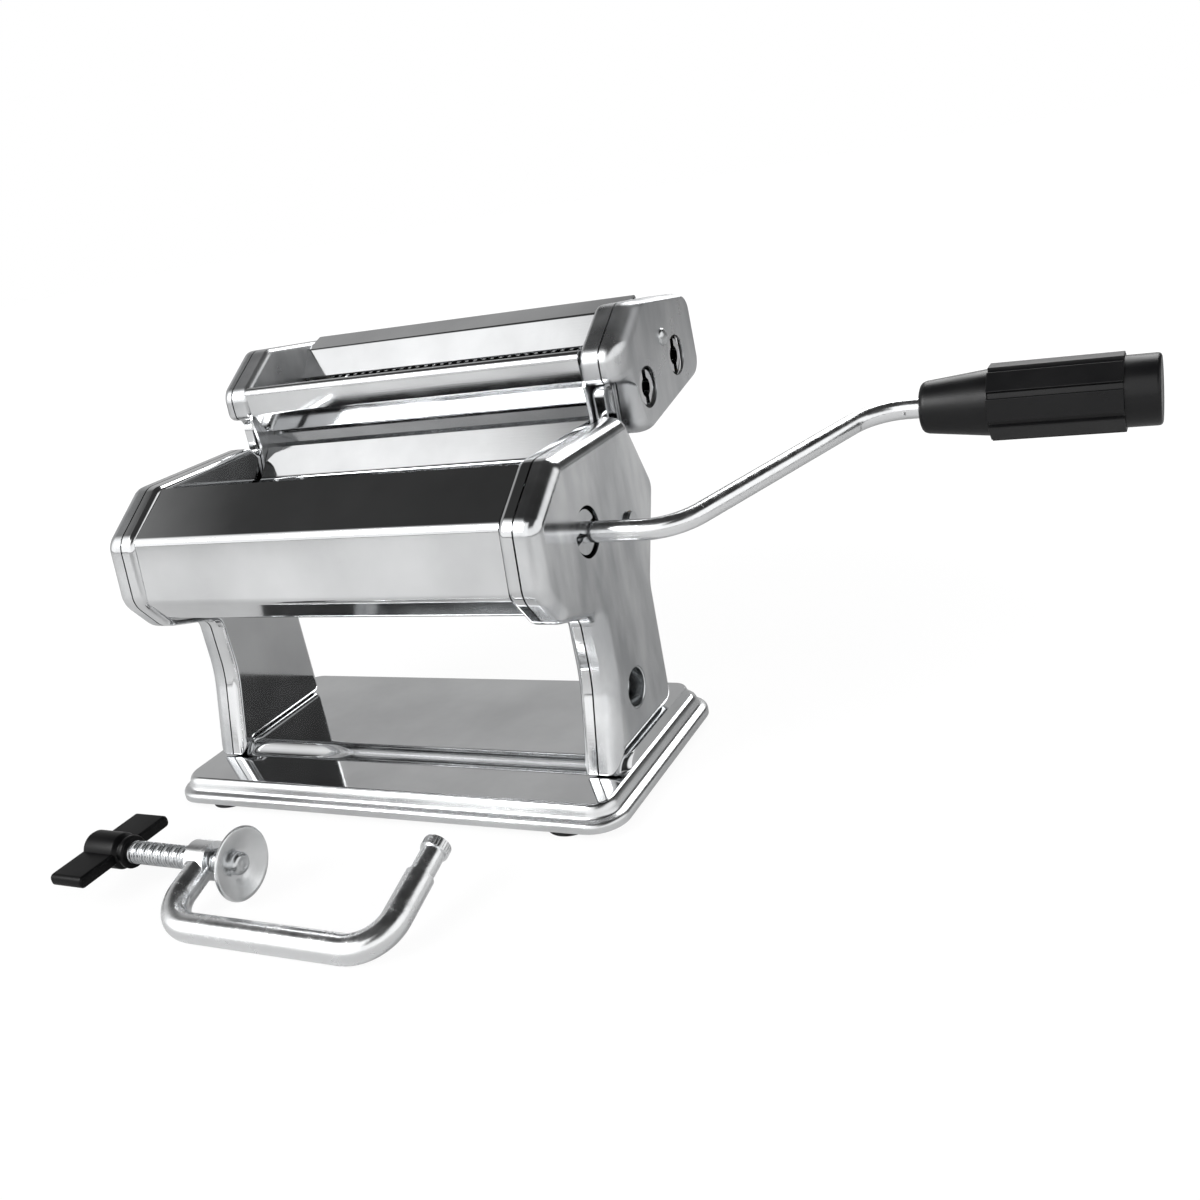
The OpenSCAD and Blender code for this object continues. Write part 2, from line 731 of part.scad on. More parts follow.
module index_plate() {
    color(zinc) mirror([1, 0, 0]) difference() {
        tube(axle_axis, outer_x, outer_x + plate_d, dial_r + 4, journal_r + 0.5);
        for (k = [0:dial_steps - 1]) {
            a = 90 + k * dial_turn / (dial_steps - 1);
            bar(axle_axis + dial_r * [cos(a), sin(a)], outer_x - 1, outer_x + 3, 1.7);
        }
    }
}

module roller_tube(q) {
    tube(q, -roller_l / 2, roller_l / 2, roller_r, roller_r - roller_wall);
}

module front_roller() {
    color(steel) roller_tube(front_axis);
}

module front_roller_plug() {
    color(zinc) {
        bar(front_axis, -roller_l / 2, plug_l - roller_l / 2, roller_r - roller_wall);
        bar(front_axis, -web_x - 2.4, -roller_l / 2, journal_r);
    }
}

// Slotted shaft that takes the crank
module drive_shaft() {
    color(zinc) difference() {
        union() {
            bar(front_axis, roller_l / 2 - shaft_grip, roller_l / 2, roller_r - roller_wall);
            bar(front_axis, roller_l / 2, inside_x, drive_r - 0.6);
            bar(front_axis, roller_l / 2, gear_x + gear_w, drive_r);
        }
        bar(front_axis, roller_l / 2 - shaft_grip - 4, inside_x + 1, rod_d / 2 + fit_gap);
        translate([inside_x, front_y, front_z]) rotate([arm_angle, 0, 0])
            cube([2 * slot_d, 3 * drive_r, slot_w], center = true);
    }
}

module roller_gear(q, bore, phase) {
    gear(q, gear_x, gear_w, bore, gear_teeth, gear_tip_r, gear_root_r, 1.7, 3.4, phase);
}

module front_gear() {
    color(zinc) roller_gear(front_axis, drive_r, mesh_angle);
}

module eccentric_axle() {
    color(zinc) {
        bar(rear_axis, -half + 0.2, gear_x + gear_w + 0.4, ecc_r);
        bar(axle_axis, gear_x + gear_w + 0.4, outer_x + 1.4, stub_r);
        bar(axle_axis, -spring_seat + 0.2, -half + 0.2, journal_r);
        bar(axle_axis, -washer_x - 1.5, -spring_seat + 0.2, 3);
        bar(axle_axis, -washer_x - 1.5, -washer_x, 8);
    }
}

module floating_bushes() {
    color(brass) for (x = [-roller_l / 2 + 0.4, roller_l / 2 - sleeve_l])
        tube(rear_axis, x, x + sleeve_l - 0.4, float_r, ecc_r + fit_gap);
}

module rear_roller() {
    color(steel) roller_tube(rear_axis);
}

module rear_roller_plugs() {
    plug_r = roller_r - roller_wall;
    color(zinc) {
        tube(rear_axis, -roller_l / 2, -roller_l / 2 + sleeve_l, plug_r, float_r + fit_gap);
        difference() {
            union() {
                bar(rear_axis, roller_l / 2 - sleeve_l, roller_l / 2, plug_r);
                bar(rear_axis, roller_l / 2, gear_x + gear_w, hub_r);
            }
            bar(rear_axis, roller_l / 2 - sleeve_l - 1, gear_x + gear_w + 1, float_r + fit_gap);
        }
    }
}

module rear_gear() {
    color(zinc) roller_gear(rear_axis, hub_r, mesh_angle + 180 + 180 / gear_teeth + mesh_bias);
}

module thickness_knob() {
    color(black) mirror([1, 0, 0]) difference() {
        bar(axle_axis, knob_x, knob_end, knob_d / 2);
        bar(axle_axis, knob_x - 1, knob_end, journal_r + fit_gap);
        bar(axle_axis, spring_seat, knob_end + 1, 9);
        for (k = [0:11])
            bar(axle_axis + (knob_d / 2 + 1.4) * [cos(30 * k), sin(30 * k)], knob_x + 4, knob_end + 1, 2.6);
    }
}

module knob_cap() {
    color(black) mirror([1, 0, 0]) bar(axle_axis, knob_end - 2, knob_end, 8.9);
}

module index_pin() {
    color(zinc) mirror([1, 0, 0]) bar(axle_axis + [0, dial_r], outer_x + plate_d + run_gap, knob_x, 1.5);
}

module knob_spring() {
    color(zinc) mirror([1, 0, 0]) tube(axle_axis, spring_seat + 0.1, washer_x - 0.1, 5.4, 3.8);
}

module crank_rod() {
    trim = bend_r * tan(bend_angle / 2);
    arm = throw / sin(bend_angle) - 2 * trim;
    last = rod_end_x - bend_out_x - throw / tan(bend_angle) - trim;
    steps = [[bend_out_x - crank_in_x - trim, bend_angle], [arm, -bend_angle], [last, 0]];
    color(steel) translate([crank_in_x, front_y, front_z]) rotate([arm_angle, 0, 0]) difference() {
        bent_rod(steps, bend_r, rod_d / 2);
        translate([pin_x - crank_in_x, 0, 0]) rotate([90, 0, 0])
            cylinder(h = 4 * drive_r, r = pin_r_crank, center = true);
    }
}

module crank_pin() {
    color(zinc) translate([pin_x, front_y, front_z]) rotate([90 + arm_angle, 0, 0])
        cylinder(h = 2 * drive_r - 2, r = pin_r_crank - 0.01, center = true);
}

module grip_washer() {
    color(zinc) tube(grip_axis, cap_x + 0.5, cap_x + 1.7, 6.5, rod_d / 2 + 0.01);
}

// Moulded grip: tapered collar and ribbed barrel on the crank rod
module grip_body() {
    rib = 360 / rib_count;
    color(black) difference() {
        union() {
            translate([grip_x, grip_axis.x, grip_axis.y]) rotate([0, 90, 0])
                cylinder(h = collar_l, d1 = collar_d, d2 = cap_d - 0.6);
            bar(grip_axis, barrel_x, cap_x, barrel_d / 2 - 0.7);
            along_x(barrel_x, cap_x) translate(grip_axis) polygon([
                for (k = [0:rib_count - 1], s = [[-0.4, 0], [-0.38, 0.7], [0, 0.7], [0.38, 0.7], [0.4, 0]])
                    (barrel_d / 2 - 0.7 + s[1]) * [cos((k + s[0]) * rib), sin((k + s[0]) * rib)]
            ]);
        }
        bar(grip_axis, grip_x - 1, cap_x + 1, rod_d / 2 + fit_gap);
    }
}

module grip_cap() {
    color(black) difference() {
        bar(grip_axis, cap_x, grip_end, cap_d / 2);
        bar(grip_axis, cap_x - 1, cap_x + 3, 7.2);
    }
}

// Cutter housing
module cut_plate() {
    holes = [wide_mate, narrow_mate];
    difference() {
        union() {
            along_x(cut_inner, cut_web) polygon(rounded(cut_web_outline));
            along_x(cut_web, cut_seam) difference() {
                polygon(rounded(cut_outline));
                polygon(rounded(inset(cut_outline, sheet_t)));
            }
        }
        for (q = holes) bar(q, cut_inner - 1, cut_web + 1, pin_r + 2);
        for (q = cut_tie_points) bar(q, cut_inner - 1, cut_web + 1, cut_tie_r + 0.02);
        bar(cut_rivet, cut_inner - 1, cut_web + 1, 2.02);
        children();
    }
}

module cutter_right_plate() {
    color(steel) cut_plate()
        for (q = [wide_drive, narrow_drive]) bar(q, cut_inner - 1, cut_web + 1, hollow_r + 1);
}

module cutter_left_plate() {
    color(steel) mirror([1, 0, 0]) cut_plate()
        for (q = [wide_drive, narrow_drive]) bar(q, cut_inner - 1, cut_web + 1, pin_r + 2);
}

module cut_cover() {
    difference() {
        shell(cut_outline, cut_seam + seam_gap, cut_outer - cut_seam - seam_gap, cover_t, cut_cover_r);
        bar(cut_rivet, cut_inside - 1, cut_outer + 1, 2.02);
        children();
    }
}

module cutter_right_cover() {
    color(steel) cut_cover()
        for (q = [wide_drive, narrow_drive]) bar(q, cut_inside - 1, cut_outer + 1, cut_hole_r);
}

module cutter_left_cover() {
    color(steel) mirror([1, 0, 0]) cut_cover();
}

module cutter_rivets() {
    color(zinc) both_ends() {
        bar(cut_rivet, cut_web - 1, cut_outer + 0.4, 2);
        bar(cut_rivet, cut_web, cut_inside, 3.2);
        translate([cut_outer, cut_rivet.x, cut_rivet.y]) rotate([0, 90, 0]) cylinder(h = 1, r1 = 2.8, r2 = 1.8);
    }
}

module cutter_ties() {
    color(zinc) {
        for (q = cut_tie_points) bar(q, -cut_web - 2, cut_web + 2, cut_tie_r);
        both_ends() for (q = cut_tie_points) bar(q, cut_web, cut_web + 1.6, cut_tie_r + 0.9);
    }
}

// Front guard with its rolled nose
nose_roll = [cut_nose_y + 2.8, cut_nose_z - 1.2];
module cutter_front_guard() {
    roll_r = 2.7;
    wall = [
        nose_roll - [roll_r, 0], [cut_nose_y + 0.6, notch_z + 2],
        [cut_nose_y + 3.4, top_z + 4.5], [cut_nose_y + guard_foot, top_z - guard_drop]
    ];
    color(steel) {
        bar(nose_roll, -cut_inner, cut_inner, roll_r);
        along_x(-cut_inner, cut_inner) sheet(soft_line(wall, 3), panel_t);
    }
}

// Divider between the two feed slots
module cutter_divider() {
    foot = wide_mate + [divider_back, disc_r + divider_gap];
    fold = [narrow_drive.x - divider_back, cut_back_z - 1.4];
    crest = fold + [divider_top, cut_top_z - cut_back_z - 1.2];
    line = [foot, fold, crest, crest + [1, -5.4]];
    color(steel) along_x(-cut_inner, cut_inner) sheet(soft_line(line, 1.2), panel_t);
}

module cutter_rear_guard() {
    line = [
        [cut_back_y - 2.2, cut_back_z - 1], [cut_tail_y - 2.2, cut_tail_z + 5],
        [cut_tail_y - 8, cut_tail_z + 1]
    ];
    color(steel) along_x(-cut_inner, cut_inner) sheet(soft_line(line, 4), panel_t);
}

// Cutting rollers: discs and grooves of equal pitch
function disc_count(w) = floor((cut_face - w) / (2 * w));
module cutting_roller(q, w, shift, right_r, right_x) {
    n = disc_count(w);
    d = (w - 2 * run_gap) / 2;
    steps = [
        for (k = [-n:shift > 0 ? n - 1 : n])
            let (c = 2 * w * k + shift)
            each [[groove_r, c - d], [disc_r, c - d], [disc_r, c + d], [groove_r, c + d]]
    ];
    difference() {
        translate([0, q.x, q.y]) rotate([0, 90, 0]) rotate_extrude() polygon(concat(
            [[0, -cut_gear_end], [pin_r, -cut_gear_end], [pin_r, -cut_face], [groove_r, -cut_face]],
            steps,
            [[groove_r, cut_face], [right_r, cut_face], [right_r, right_x], [0, right_x]]
        ));
        children();
    }
}

// The mouth that takes the crank, with its cross slot
module drive_mouth(q) {
    bar(q, cut_inside - mouth_l, cut_inside + 1, rod_d / 2 + fit_gap);
    translate([cut_inside, q.x, q.y]) cube([2 * slot_d, slot_w, 3 * drive_r], center = true);
}

module wide_drive_roller() {
    color(steel) cutting_roller(wide_drive, wide_w, 0, hollow_r, cut_inside) drive_mouth(wide_drive);
}

module wide_mate_roller() {
    color(steel) cutting_roller(wide_mate, wide_w, wide_w, pin_r, cut_web + 2);
}

module narrow_drive_roller() {
    color(steel) cutting_roller(narrow_drive, narrow_w, 0, hollow_r, cut_inside) drive_mouth(narrow_drive);
}

module narrow_mate_roller() {
    color(steel) cutting_roller(narrow_mate, narrow_w, narrow_w, pin_r, cut_web + 2);
}

cut_tip_r = pair_d / 2 + 0.9;
cut_root_r = pair_d - cut_tip_r - 0.4;
module cut_gear(q, phase) {
    color(brass)
        gear(q, -cut_gear_end, cut_gear_w, pin_r, cut_teeth, cut_tip_r, cut_root_r, 0.7, 1.3, phase);
}

module wide_drive_gear() {
    cut_gear(wide_drive, wide_angle);
}

module wide_mate_gear() {
    cut_gear(wide_mate, wide_angle + 180 + 180 / cut_teeth);
}

module narrow_drive_gear() {
    cut_gear(narrow_drive, narrow_angle);
}

module narrow_mate_gear() {
    cut_gear(narrow_mate, narrow_angle + 180 + 180 / cut_teeth);
}

module cut_bush(q, r, wall) {
    tube(q, cut_inner - 0.6, cut_web + 1.5, r + wall - 0.02, r + fit_gap);
}

module cutter_bushes() {
    color(brass) {
        for (q = [wide_drive, narrow_drive]) cut_bush(q, hollow_r, 1);
        for (q = [wide_mate, narrow_mate]) cut_bush(q, pin_r, 2);
        for (q = [wide_drive, wide_mate, narrow_drive, narrow_mate]) mirror([1, 0, 0]) cut_bush(q, pin_r, 2);
    }
}

// A comb whose teeth reach into the grooves of one cutting roller
module comb(q, angle, w, shift) {
    n = disc_count(w);
    d = w / 2 - 2 * run_gap;
    tooth = groove_r + run_gap;
    back = disc_r + 0.6;
    edge = [
        for (k = [-n:shift > 0 ? n - 2 : n - 1])
            let (c = 2 * w * k + w + shift)
            each [[c - d, back], [c - d, tooth], [c + d, tooth], [c + d, back]]
    ];
    translate([0, q.x, q.y]) rotate([angle, 0, 0]) translate([0, 0, -0.4]) linear_extrude(0.8)
        polygon(concat(
            [[-cut_inner, back]], edge,
            [[cut_inner, back], [cut_inner, back + 4], [-cut_inner, back + 4]]
        ));
}

module cutter_combs() {
    color(dark_steel) {
        comb(wide_drive, -120, wide_w, 0);
        comb(wide_mate, -60, wide_w, wide_w);
        comb(narrow_drive, -120, narrow_w, 0);
        comb(narrow_mate, -60, narrow_w, narrow_w);
    }
}

// Clamp, lying on the table in front of the machine
module on_clamp() {
    translate([0, clamp_y, clamp_d / 2]) rotate([clamp_tilt, 0, 0]) children();
}

screw_axis = [clamp_y + screw_reach * cos(clamp_tilt), pad_z];
module clamp_rod() {
    neck_l = 13;
    eye_r = screw_r + eye_wall;
    steps = [
        [screw_reach - clamp_bend_r + eye_r / 2, 90], [clamp_x1 - clamp_x0 - 2 * clamp_bend_r, 90],
        [tip_reach - neck_l - clamp_bend_r, 0]
    ];
    color(steel) on_clamp() difference() {
        union() {
            translate([clamp_x0, screw_reach + eye_r / 2, 0]) rotate([0, 0, -90])
                bent_rod(steps, clamp_bend_r, clamp_d / 2);
            translate([clamp_x0, screw_reach, 0]) rotate([0, 90, 0])
                cylinder(h = clamp_d - 1.1, r = eye_r, center = true);
            translate([clamp_x1, tip_reach - neck_l, 0]) rotate([-90, 0, 0]) {
                cylinder(h = neck_l, d = clamp_d - 1.6);
                translate([0, 0, neck_l - 3.5]) cylinder(h = 3.5, d = clamp_d - 0.4);
            }
        }
        translate([clamp_x0 - clamp_d, screw_reach, 0]) rotate([0, 90, 0])
            cylinder(h = 2 * clamp_d, r = screw_r + fit_gap);
    }
}

module clamp_screw() {
    color(zinc) {
        bar(screw_axis, wing_x - wing_grip, pad_x - 3.2, screw_r);
        bar(screw_axis, pad_x - 3.2, pad_x - 1, spigot_r);
        translate([pad_x - 1.1, screw_axis.x, screw_axis.y]) rotate([0, 90, 0])
            cylinder(h = 1.4, r1 = 4.2, r2 = 3);
    }
}

module wing_handle() {
    color(black) difference() {
        union() {
            bar(screw_axis, wing_x - wing_w, wing_x, wing_hub_r);
            bar(screw_axis, wing_x, wing_x + wing_collar, wing_hub_r - 0.6);
            translate([wing_x - wing_w / 2, screw_axis.x, screw_axis.y])
                cube([wing_w, wing_span - wing_t, wing_t], center = true);
            for (s = [-1, 1])
                bar(screw_axis + [s * (wing_span - wing_t) / 2, 0], wing_x - wing_w, wing_x, wing_t / 2);
        }
        bar(screw_axis, wing_x - wing_grip, wing_x + wing_collar + 1, screw_r);
    }
}

// Dished disc on the screw's peened end, which presses on the underside of a table
module pressure_pad() {
    r = pad_d / 2;
    bore = spigot_r + fit_gap;
    color(zinc) translate([pad_x, screw_axis.x, screw_axis.y]) rotate([0, 90, 0]) rotate_extrude() polygon([
        [bore, -3], [0.42 * r, -3], [0.6 * r, -1.6], [r - 0.8, -1.6], [r, -1], [r, -0.2], [r - 0.6, 0],
        [0.68 * r, 0], [0.48 * r, -1.4], [bore, -1.4]
    ]);
}

base_plate();
base_feet();
base_screws();
base_nuts();
left_side_plate();
right_side_plate();
left_cover();
right_cover();
cover_posts();
clamp_socket();
tie_rods();
tie_rod_nuts();
front_panel();
rear_panel();
front_scraper();
rear_scraper();
roller_bushes();
axle_bushes();
index_plate();
front_roller();
front_roller_plug();
drive_shaft();
front_gear();
eccentric_axle();
floating_bushes();
rear_roller();
rear_roller_plugs();
rear_gear();
thickness_knob();
knob_cap();
index_pin();
knob_spring();
crank_rod();
crank_pin();
grip_washer();
grip_body();
grip_cap();
cutter_left_plate();
cutter_right_plate();
cutter_left_cover();
cutter_right_cover();
cutter_rivets();
cutter_ties();
cutter_front_guard();
cutter_divider();
cutter_rear_guard();
cutter_bushes();
cutter_combs();
wide_drive_roller();
wide_mate_roller();
narrow_drive_roller();
narrow_mate_roller();
wide_drive_gear();
wide_mate_gear();
narrow_drive_gear();
narrow_mate_gear();
clamp_rod();
clamp_screw();
wing_handle();
pressure_pad();
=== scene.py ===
import json
import math

import bmesh
import bpy
from mathutils import Matrix, Vector


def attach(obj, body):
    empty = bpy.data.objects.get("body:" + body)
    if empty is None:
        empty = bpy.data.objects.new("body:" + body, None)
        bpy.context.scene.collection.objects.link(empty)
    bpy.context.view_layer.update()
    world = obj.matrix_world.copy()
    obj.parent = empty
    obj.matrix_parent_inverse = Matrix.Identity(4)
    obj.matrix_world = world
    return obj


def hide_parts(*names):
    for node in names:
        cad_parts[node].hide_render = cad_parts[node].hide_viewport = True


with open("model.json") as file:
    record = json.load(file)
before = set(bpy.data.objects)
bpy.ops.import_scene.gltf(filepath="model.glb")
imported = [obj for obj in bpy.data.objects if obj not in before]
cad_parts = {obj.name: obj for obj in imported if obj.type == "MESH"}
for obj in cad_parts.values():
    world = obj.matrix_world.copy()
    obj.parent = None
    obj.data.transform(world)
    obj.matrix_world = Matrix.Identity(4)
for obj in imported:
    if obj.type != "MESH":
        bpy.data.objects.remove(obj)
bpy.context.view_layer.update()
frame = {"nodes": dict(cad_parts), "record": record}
scene = bpy.context.scene
nodes = frame["nodes"]
mm = 0.001
print("frame loaded:", len(nodes), "nodes")


# Colours, nodes and materials

def hexColor(code):
    def linear(level):
        return level / 12.92 if level <= 0.04045 else ((level + 0.055) / 1.055) ** 2.4
    return tuple(linear(int(code[i:i + 2], 16) / 255) for i in (0, 2, 4)) + (1.0,)


def addNode(tree, kind, settings=None, inputs=None):
    node = tree.nodes.new(kind)
    for key, value in (settings or {}).items():
        setattr(node, key, value)
    for key, value in (inputs or {}).items():
        if isinstance(value, bpy.types.NodeSocket):
            tree.links.new(value, node.inputs[key])
        else:
            node.inputs[key].default_value = value
    return node


def startMaterial(name, color, metallic, roughness):
    made = bpy.data.materials.new(name)
    made.use_nodes = True
    tree = made.node_tree
    shader = tree.nodes["Principled BSDF"]
    shader.inputs["Base Color"].default_value = hexColor(color)
    shader.inputs["Metallic"].default_value = metallic
    shader.inputs["Roughness"].default_value = roughness
    place = addNode(tree, "ShaderNodeTexCoord").outputs["Object"]
    return made, tree, shader, place


# A pattern's scale counts patches in a metre: 1000 over the size of one in mm

def cloudyRange(tree, place, scale, low, high, detail=4.0):
    cloud = addNode(tree, "ShaderNodeTexNoise", None, {"Vector": place, "Scale": scale, "Detail": detail})
    spread = addNode(tree, "ShaderNodeMapRange", None, {
        "Value": cloud.outputs["Fac"], "From Min": 0.3, "From Max": 0.7, "To Min": low, "To Max": high})
    return spread.outputs["Result"]


def cloudySheen(tree, shader, place, scale, low, high):
    tree.links.new(cloudyRange(tree, place, scale, low, high), shader.inputs["Roughness"])


def cloudyTone(tree, shader, place, scale, dark, light, detail=4.0):
    patches = cloudyRange(tree, place, scale, 0.0, 1.0, detail)
    tone = addNode(tree, "ShaderNodeMix", {"data_type": "RGBA"}, {
        "Factor": patches, 6: hexColor(dark), 7: hexColor(light)})
    tree.links.new(tone.outputs[2], shader.inputs["Base Color"])


def fineRelief(tree, shader, place, scale, detail, strength, distance):
    grain = addNode(tree, "ShaderNodeTexNoise", None, {"Vector": place, "Scale": scale, "Detail": detail})
    bump = addNode(tree, "ShaderNodeBump", None, {
        "Height": grain.outputs["Fac"], "Strength": strength, "Distance": distance})
    tree.links.new(bump.outputs["Normal"], shader.inputs["Normal"])


def mirrorSteel(name):
    # bright stainless sheet: near mirror, with soft smears and hair scratches along the machine
    made, tree, shader, place = startMaterial(name, "e0e1e2", 1.0, 0.07)
    cloudySheen(tree, shader, place, 38.0, 0.045, 0.12)  # smears 26 mm across
    cloudyTone(tree, shader, place, 24.0, "d2d3d4", "e9eaeb", 6.0)  # patches of 42 mm
    # scratches 25 mm long and 0.4 mm wide, drawn wider than real ones so that they show
    along = addNode(tree, "ShaderNodeMapping", None, {"Vector": place, "Scale": (40.0, 2600.0, 2600.0)})
    fineRelief(tree, shader, along.outputs["Vector"], 1.0, 2.0, 0.015, 0.0002)
    return made


def stampedSteel(name):
    # the base: mirror deck and ledge, with a duller rim where the press drew the sheet
    made = mirrorSteel(name)
    tree = made.node_tree
    place = addNode(tree, "ShaderNodeTexCoord").outputs["Object"]
    height = addNode(tree, "ShaderNodeSeparateXYZ", None, {"Vector": place}).outputs["Z"]
    drawn = addNode(tree, "ShaderNodeMapRange", {"interpolation_type": "SMOOTHSTEP"}, {
        "Value": height, "From Min": 10.4 * mm, "From Max": 11.3 * mm, "To Min": 0.27, "To Max": 0.06})
    tree.links.new(drawn.outputs["Result"], tree.nodes["Principled BSDF"].inputs["Roughness"])
    return made


def satinSteel(name, dark, light, low, high):
    # the drawn end covers: duller grey steel with handling smudges
    made, tree, shader, place = startMaterial(name, light, 1.0, high)
    # smudges of 17 by 11 by 36 mm, longest upright
    rubbed = addNode(tree, "ShaderNodeMapping", None, {"Vector": place, "Scale": (60.0, 90.0, 28.0)})
    cloudyTone(tree, shader, rubbed.outputs["Vector"], 1.0, dark, light, 8.0)
    cloudySheen(tree, shader, place, 55.0, low, high)  # patches of 18 mm
    fineRelief(tree, shader, place, 2200.0, 2.0, 0.03, 0.0002)  # sheet grain of 0.45 mm
    return made


def platedRod(name, color, low, high):
    # nickel plated rod: bright, with fine pitting in the plating
    made, tree, shader, place = startMaterial(name, color, 1.0, low)
    cloudySheen(tree, shader, place, 260.0, low, high)  # dull spots of 4 mm
    fineRelief(tree, shader, place, 620.0, 6.0, 0.06, 0.0006)  # pits of 1.6 mm, coarser than real to show
    return made


def zincSteel(name, dark, light):
    # zinc plated fittings: pale grey, soft sheen, faint mottling
    made, tree, shader, place = startMaterial(name, light, 1.0, 0.3)
    cloudyTone(tree, shader, place, 180.0, dark, light)  # mottles of 5.5 mm
    cloudySheen(tree, shader, place, 300.0, 0.17, 0.26)  # spots of 3.3 mm
    fineRelief(tree, shader, place, 1500.0, 2.0, 0.06, 0.0003)  # grain of 0.7 mm, coarser than real to show
    return made


def turnedBrass(name):
    # brass bushes and cutter gears: warm, lathe-turned
    made, tree, shader, place = startMaterial(name, "b8965a", 1.0, 0.28)
    cloudyTone(tree, shader, place, 90.0, "a5834a", "c6a86c")  # tarnish of 11 mm
    cloudySheen(tree, shader, place, 240.0, 0.22, 0.36)  # spots of 4 mm
    return made


def blackPlastic(name, color, low, high, gloss):
    # moulded black plastic: satin, with a fine grain and rubbed patches
    made, tree, shader, place = startMaterial(name, color, 0.0, high)
    shader.inputs["Specular IOR Level"].default_value = gloss
    cloudySheen(tree, shader, place, 70.0, low, high)  # rubbed patches of 14 mm
    fineRelief(tree, shader, place, 1800.0, 3.0, 0.07, 0.0003)  # mould grain of 0.55 mm
    return made


def footRubber(name):
    # soft black rubber, dusty
    made, tree, shader, place = startMaterial(name, "1b1b1c", 0.0, 0.75)
    cloudyTone(tree, shader, place, 120.0, "161617", "262627")  # dust in patches of 8 mm
    return made


steel = mirrorSteel("mirrorSteel")
baseSteel = stampedSteel("stampedSteel")
satin = satinSteel("satinSteel", "bcbec0", "eeeff0", 0.12, 0.24)
satinLight = satinSteel("satinSteelLight", "c6c8ca", "e6e7e8", 0.24, 0.36)
plated = platedRod("platedRod", "f3f4f5", 0.12, 0.26)
clampPlating = platedRod("clampPlating", "f1f2f3", 0.16, 0.3)
zinc = zincSteel("zincSteel", "c6c8ca", "dadcdd")
padZinc = zincSteel("padZinc", "e4e6e7", "f4f5f6")
brass = turnedBrass("turnedBrass")
gripBlack = blackPlastic("gripPlastic", "0d0d0e", 0.26, 0.4, 0.3)
wingBlack = blackPlastic("wingPlastic", "080809", 0.28, 0.4, 0.14)
rubber = footRubber("footRubber")
print("materials made:", len(bpy.data.materials))


# Mesh helpers, in mm until meshFrom turns them to metres

def addObject(name, mesh, material):
    made = bpy.data.objects.new(name, mesh)
    scene.collection.objects.link(made)
    mesh.materials.clear()
    mesh.materials.append(material)
    return made


def bakeModifiers(piece):
    seen = piece.evaluated_get(bpy.context.evaluated_depsgraph_get())
    baked = bpy.data.meshes.new_from_object(seen)
    piece.modifiers.clear()
    piece.data = baked
    return piece


# an edge is sharp above this many degrees
crease = {"sheet": 28, "copy": 32, "plain": 35, "turned": 40, "wing": 45, "thread": 50}


def smoothFaces(piece, kind="copy"):
    piece.data.shade_smooth()
    piece.data.set_sharp_from_angle(angle=math.radians(crease[kind]))
    soft = piece.modifiers.new("flatFaces", "WEIGHTED_NORMAL")
    soft.keep_sharp = True
    return bakeModifiers(piece)


def softEdges(piece, width, angle=40, rows=3):
    bevel = piece.modifiers.new("softEdges", "BEVEL")
    bevel.width, bevel.segments, bevel.limit_method = width * mm, rows, "ANGLE"
    bevel.angle_limit = math.radians(angle)
    return bakeModifiers(piece)


def settle(piece, body, nodeName):
    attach(piece, body)
    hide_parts(nodeName)
    return piece


def outwardFaces(mesh, work):
    bmesh.ops.recalc_face_normals(work, faces=work.faces)
    work.to_mesh(mesh)
    work.free()
    return mesh


def meshFrom(name, points, faces):
    mesh = bpy.data.meshes.new(name)
    mesh.from_pydata([Vector(p) * mm for p in points], [], faces)
    work = bmesh.new()
    work.from_mesh(mesh)
    return outwardFaces(mesh, work)


def mirrorMesh(mesh):
    work = bmesh.new()
    work.from_mesh(mesh)
    for vert in work.verts:
        vert.co.x = -vert.co.x
    return outwardFaces(mesh, work)


def joinMeshes(name, *meshes):
    work = bmesh.new()
    for mesh in meshes:
        work.from_mesh(mesh)
    joined = bpy.data.meshes.new(name)
    work.to_mesh(joined)
    work.free()
    return joined


def loftMesh(name, rings):
    count = len(rings[0])
    points = [p for ring in rings for p in ring]
    faces = []
    for i in range(len(rings) - 1):
        for j in range(count):
            k = (j + 1) % count
            faces.append((i * count + j, i * count + k, (i + 1) * count + k, (i + 1) * count + j))
    faces.append(tuple(range(count)))
    faces.append(tuple((len(rings) - 1) * count + j for j in reversed(range(count))))
    return meshFrom(name, points, faces)


def turnedMesh(name, profile, axis, count=96):
    # profile is (x, radius) along the axis at (y, z)
    turns = [2 * math.pi * k / count for k in range(count)]
    return loftMesh(name, [
        [(x, axis[0] + radius * math.cos(turn), axis[1] + radius * math.sin(turn)) for turn in turns]
        for x, radius in profile])


def shiftProfile(profile, start):
    return [(start + x, radius) for x, radius in profile]


def arcCorner(before, corner, after, radius, steps):
    u, v = (before - corner).normalized(), (after - corner).normalized()
    halfTurn = math.acos(max(-1.0, min(1.0, u.dot(v)))) / 2
    centre = corner + (u + v).normalized() * radius / math.sin(halfTurn)
    start = corner + u * radius / math.tan(halfTurn) - centre
    end = corner + v * radius / math.tan(halfTurn) - centre
    sweep = math.atan2(start.x * end.y - start.y * end.x, start.dot(end))
    return [centre + Matrix.Rotation(sweep * k / steps, 2) @ start for k in range(steps + 1)]


def shiftCorner(before, corner, after, depth):
    # where a corner goes when both of its sides move over, and which way the line turns there
    u, v = (corner - before).normalized(), (after - corner).normalized()
    besideU, besideV = Vector((-u.y, u.x)), Vector((-v.y, v.x))
    moved = corner + (besideU + besideV) * depth / (1 + besideU.dot(besideV))
    return moved, u.x * v.y - u.y * v.x


leastRadius = 0.3


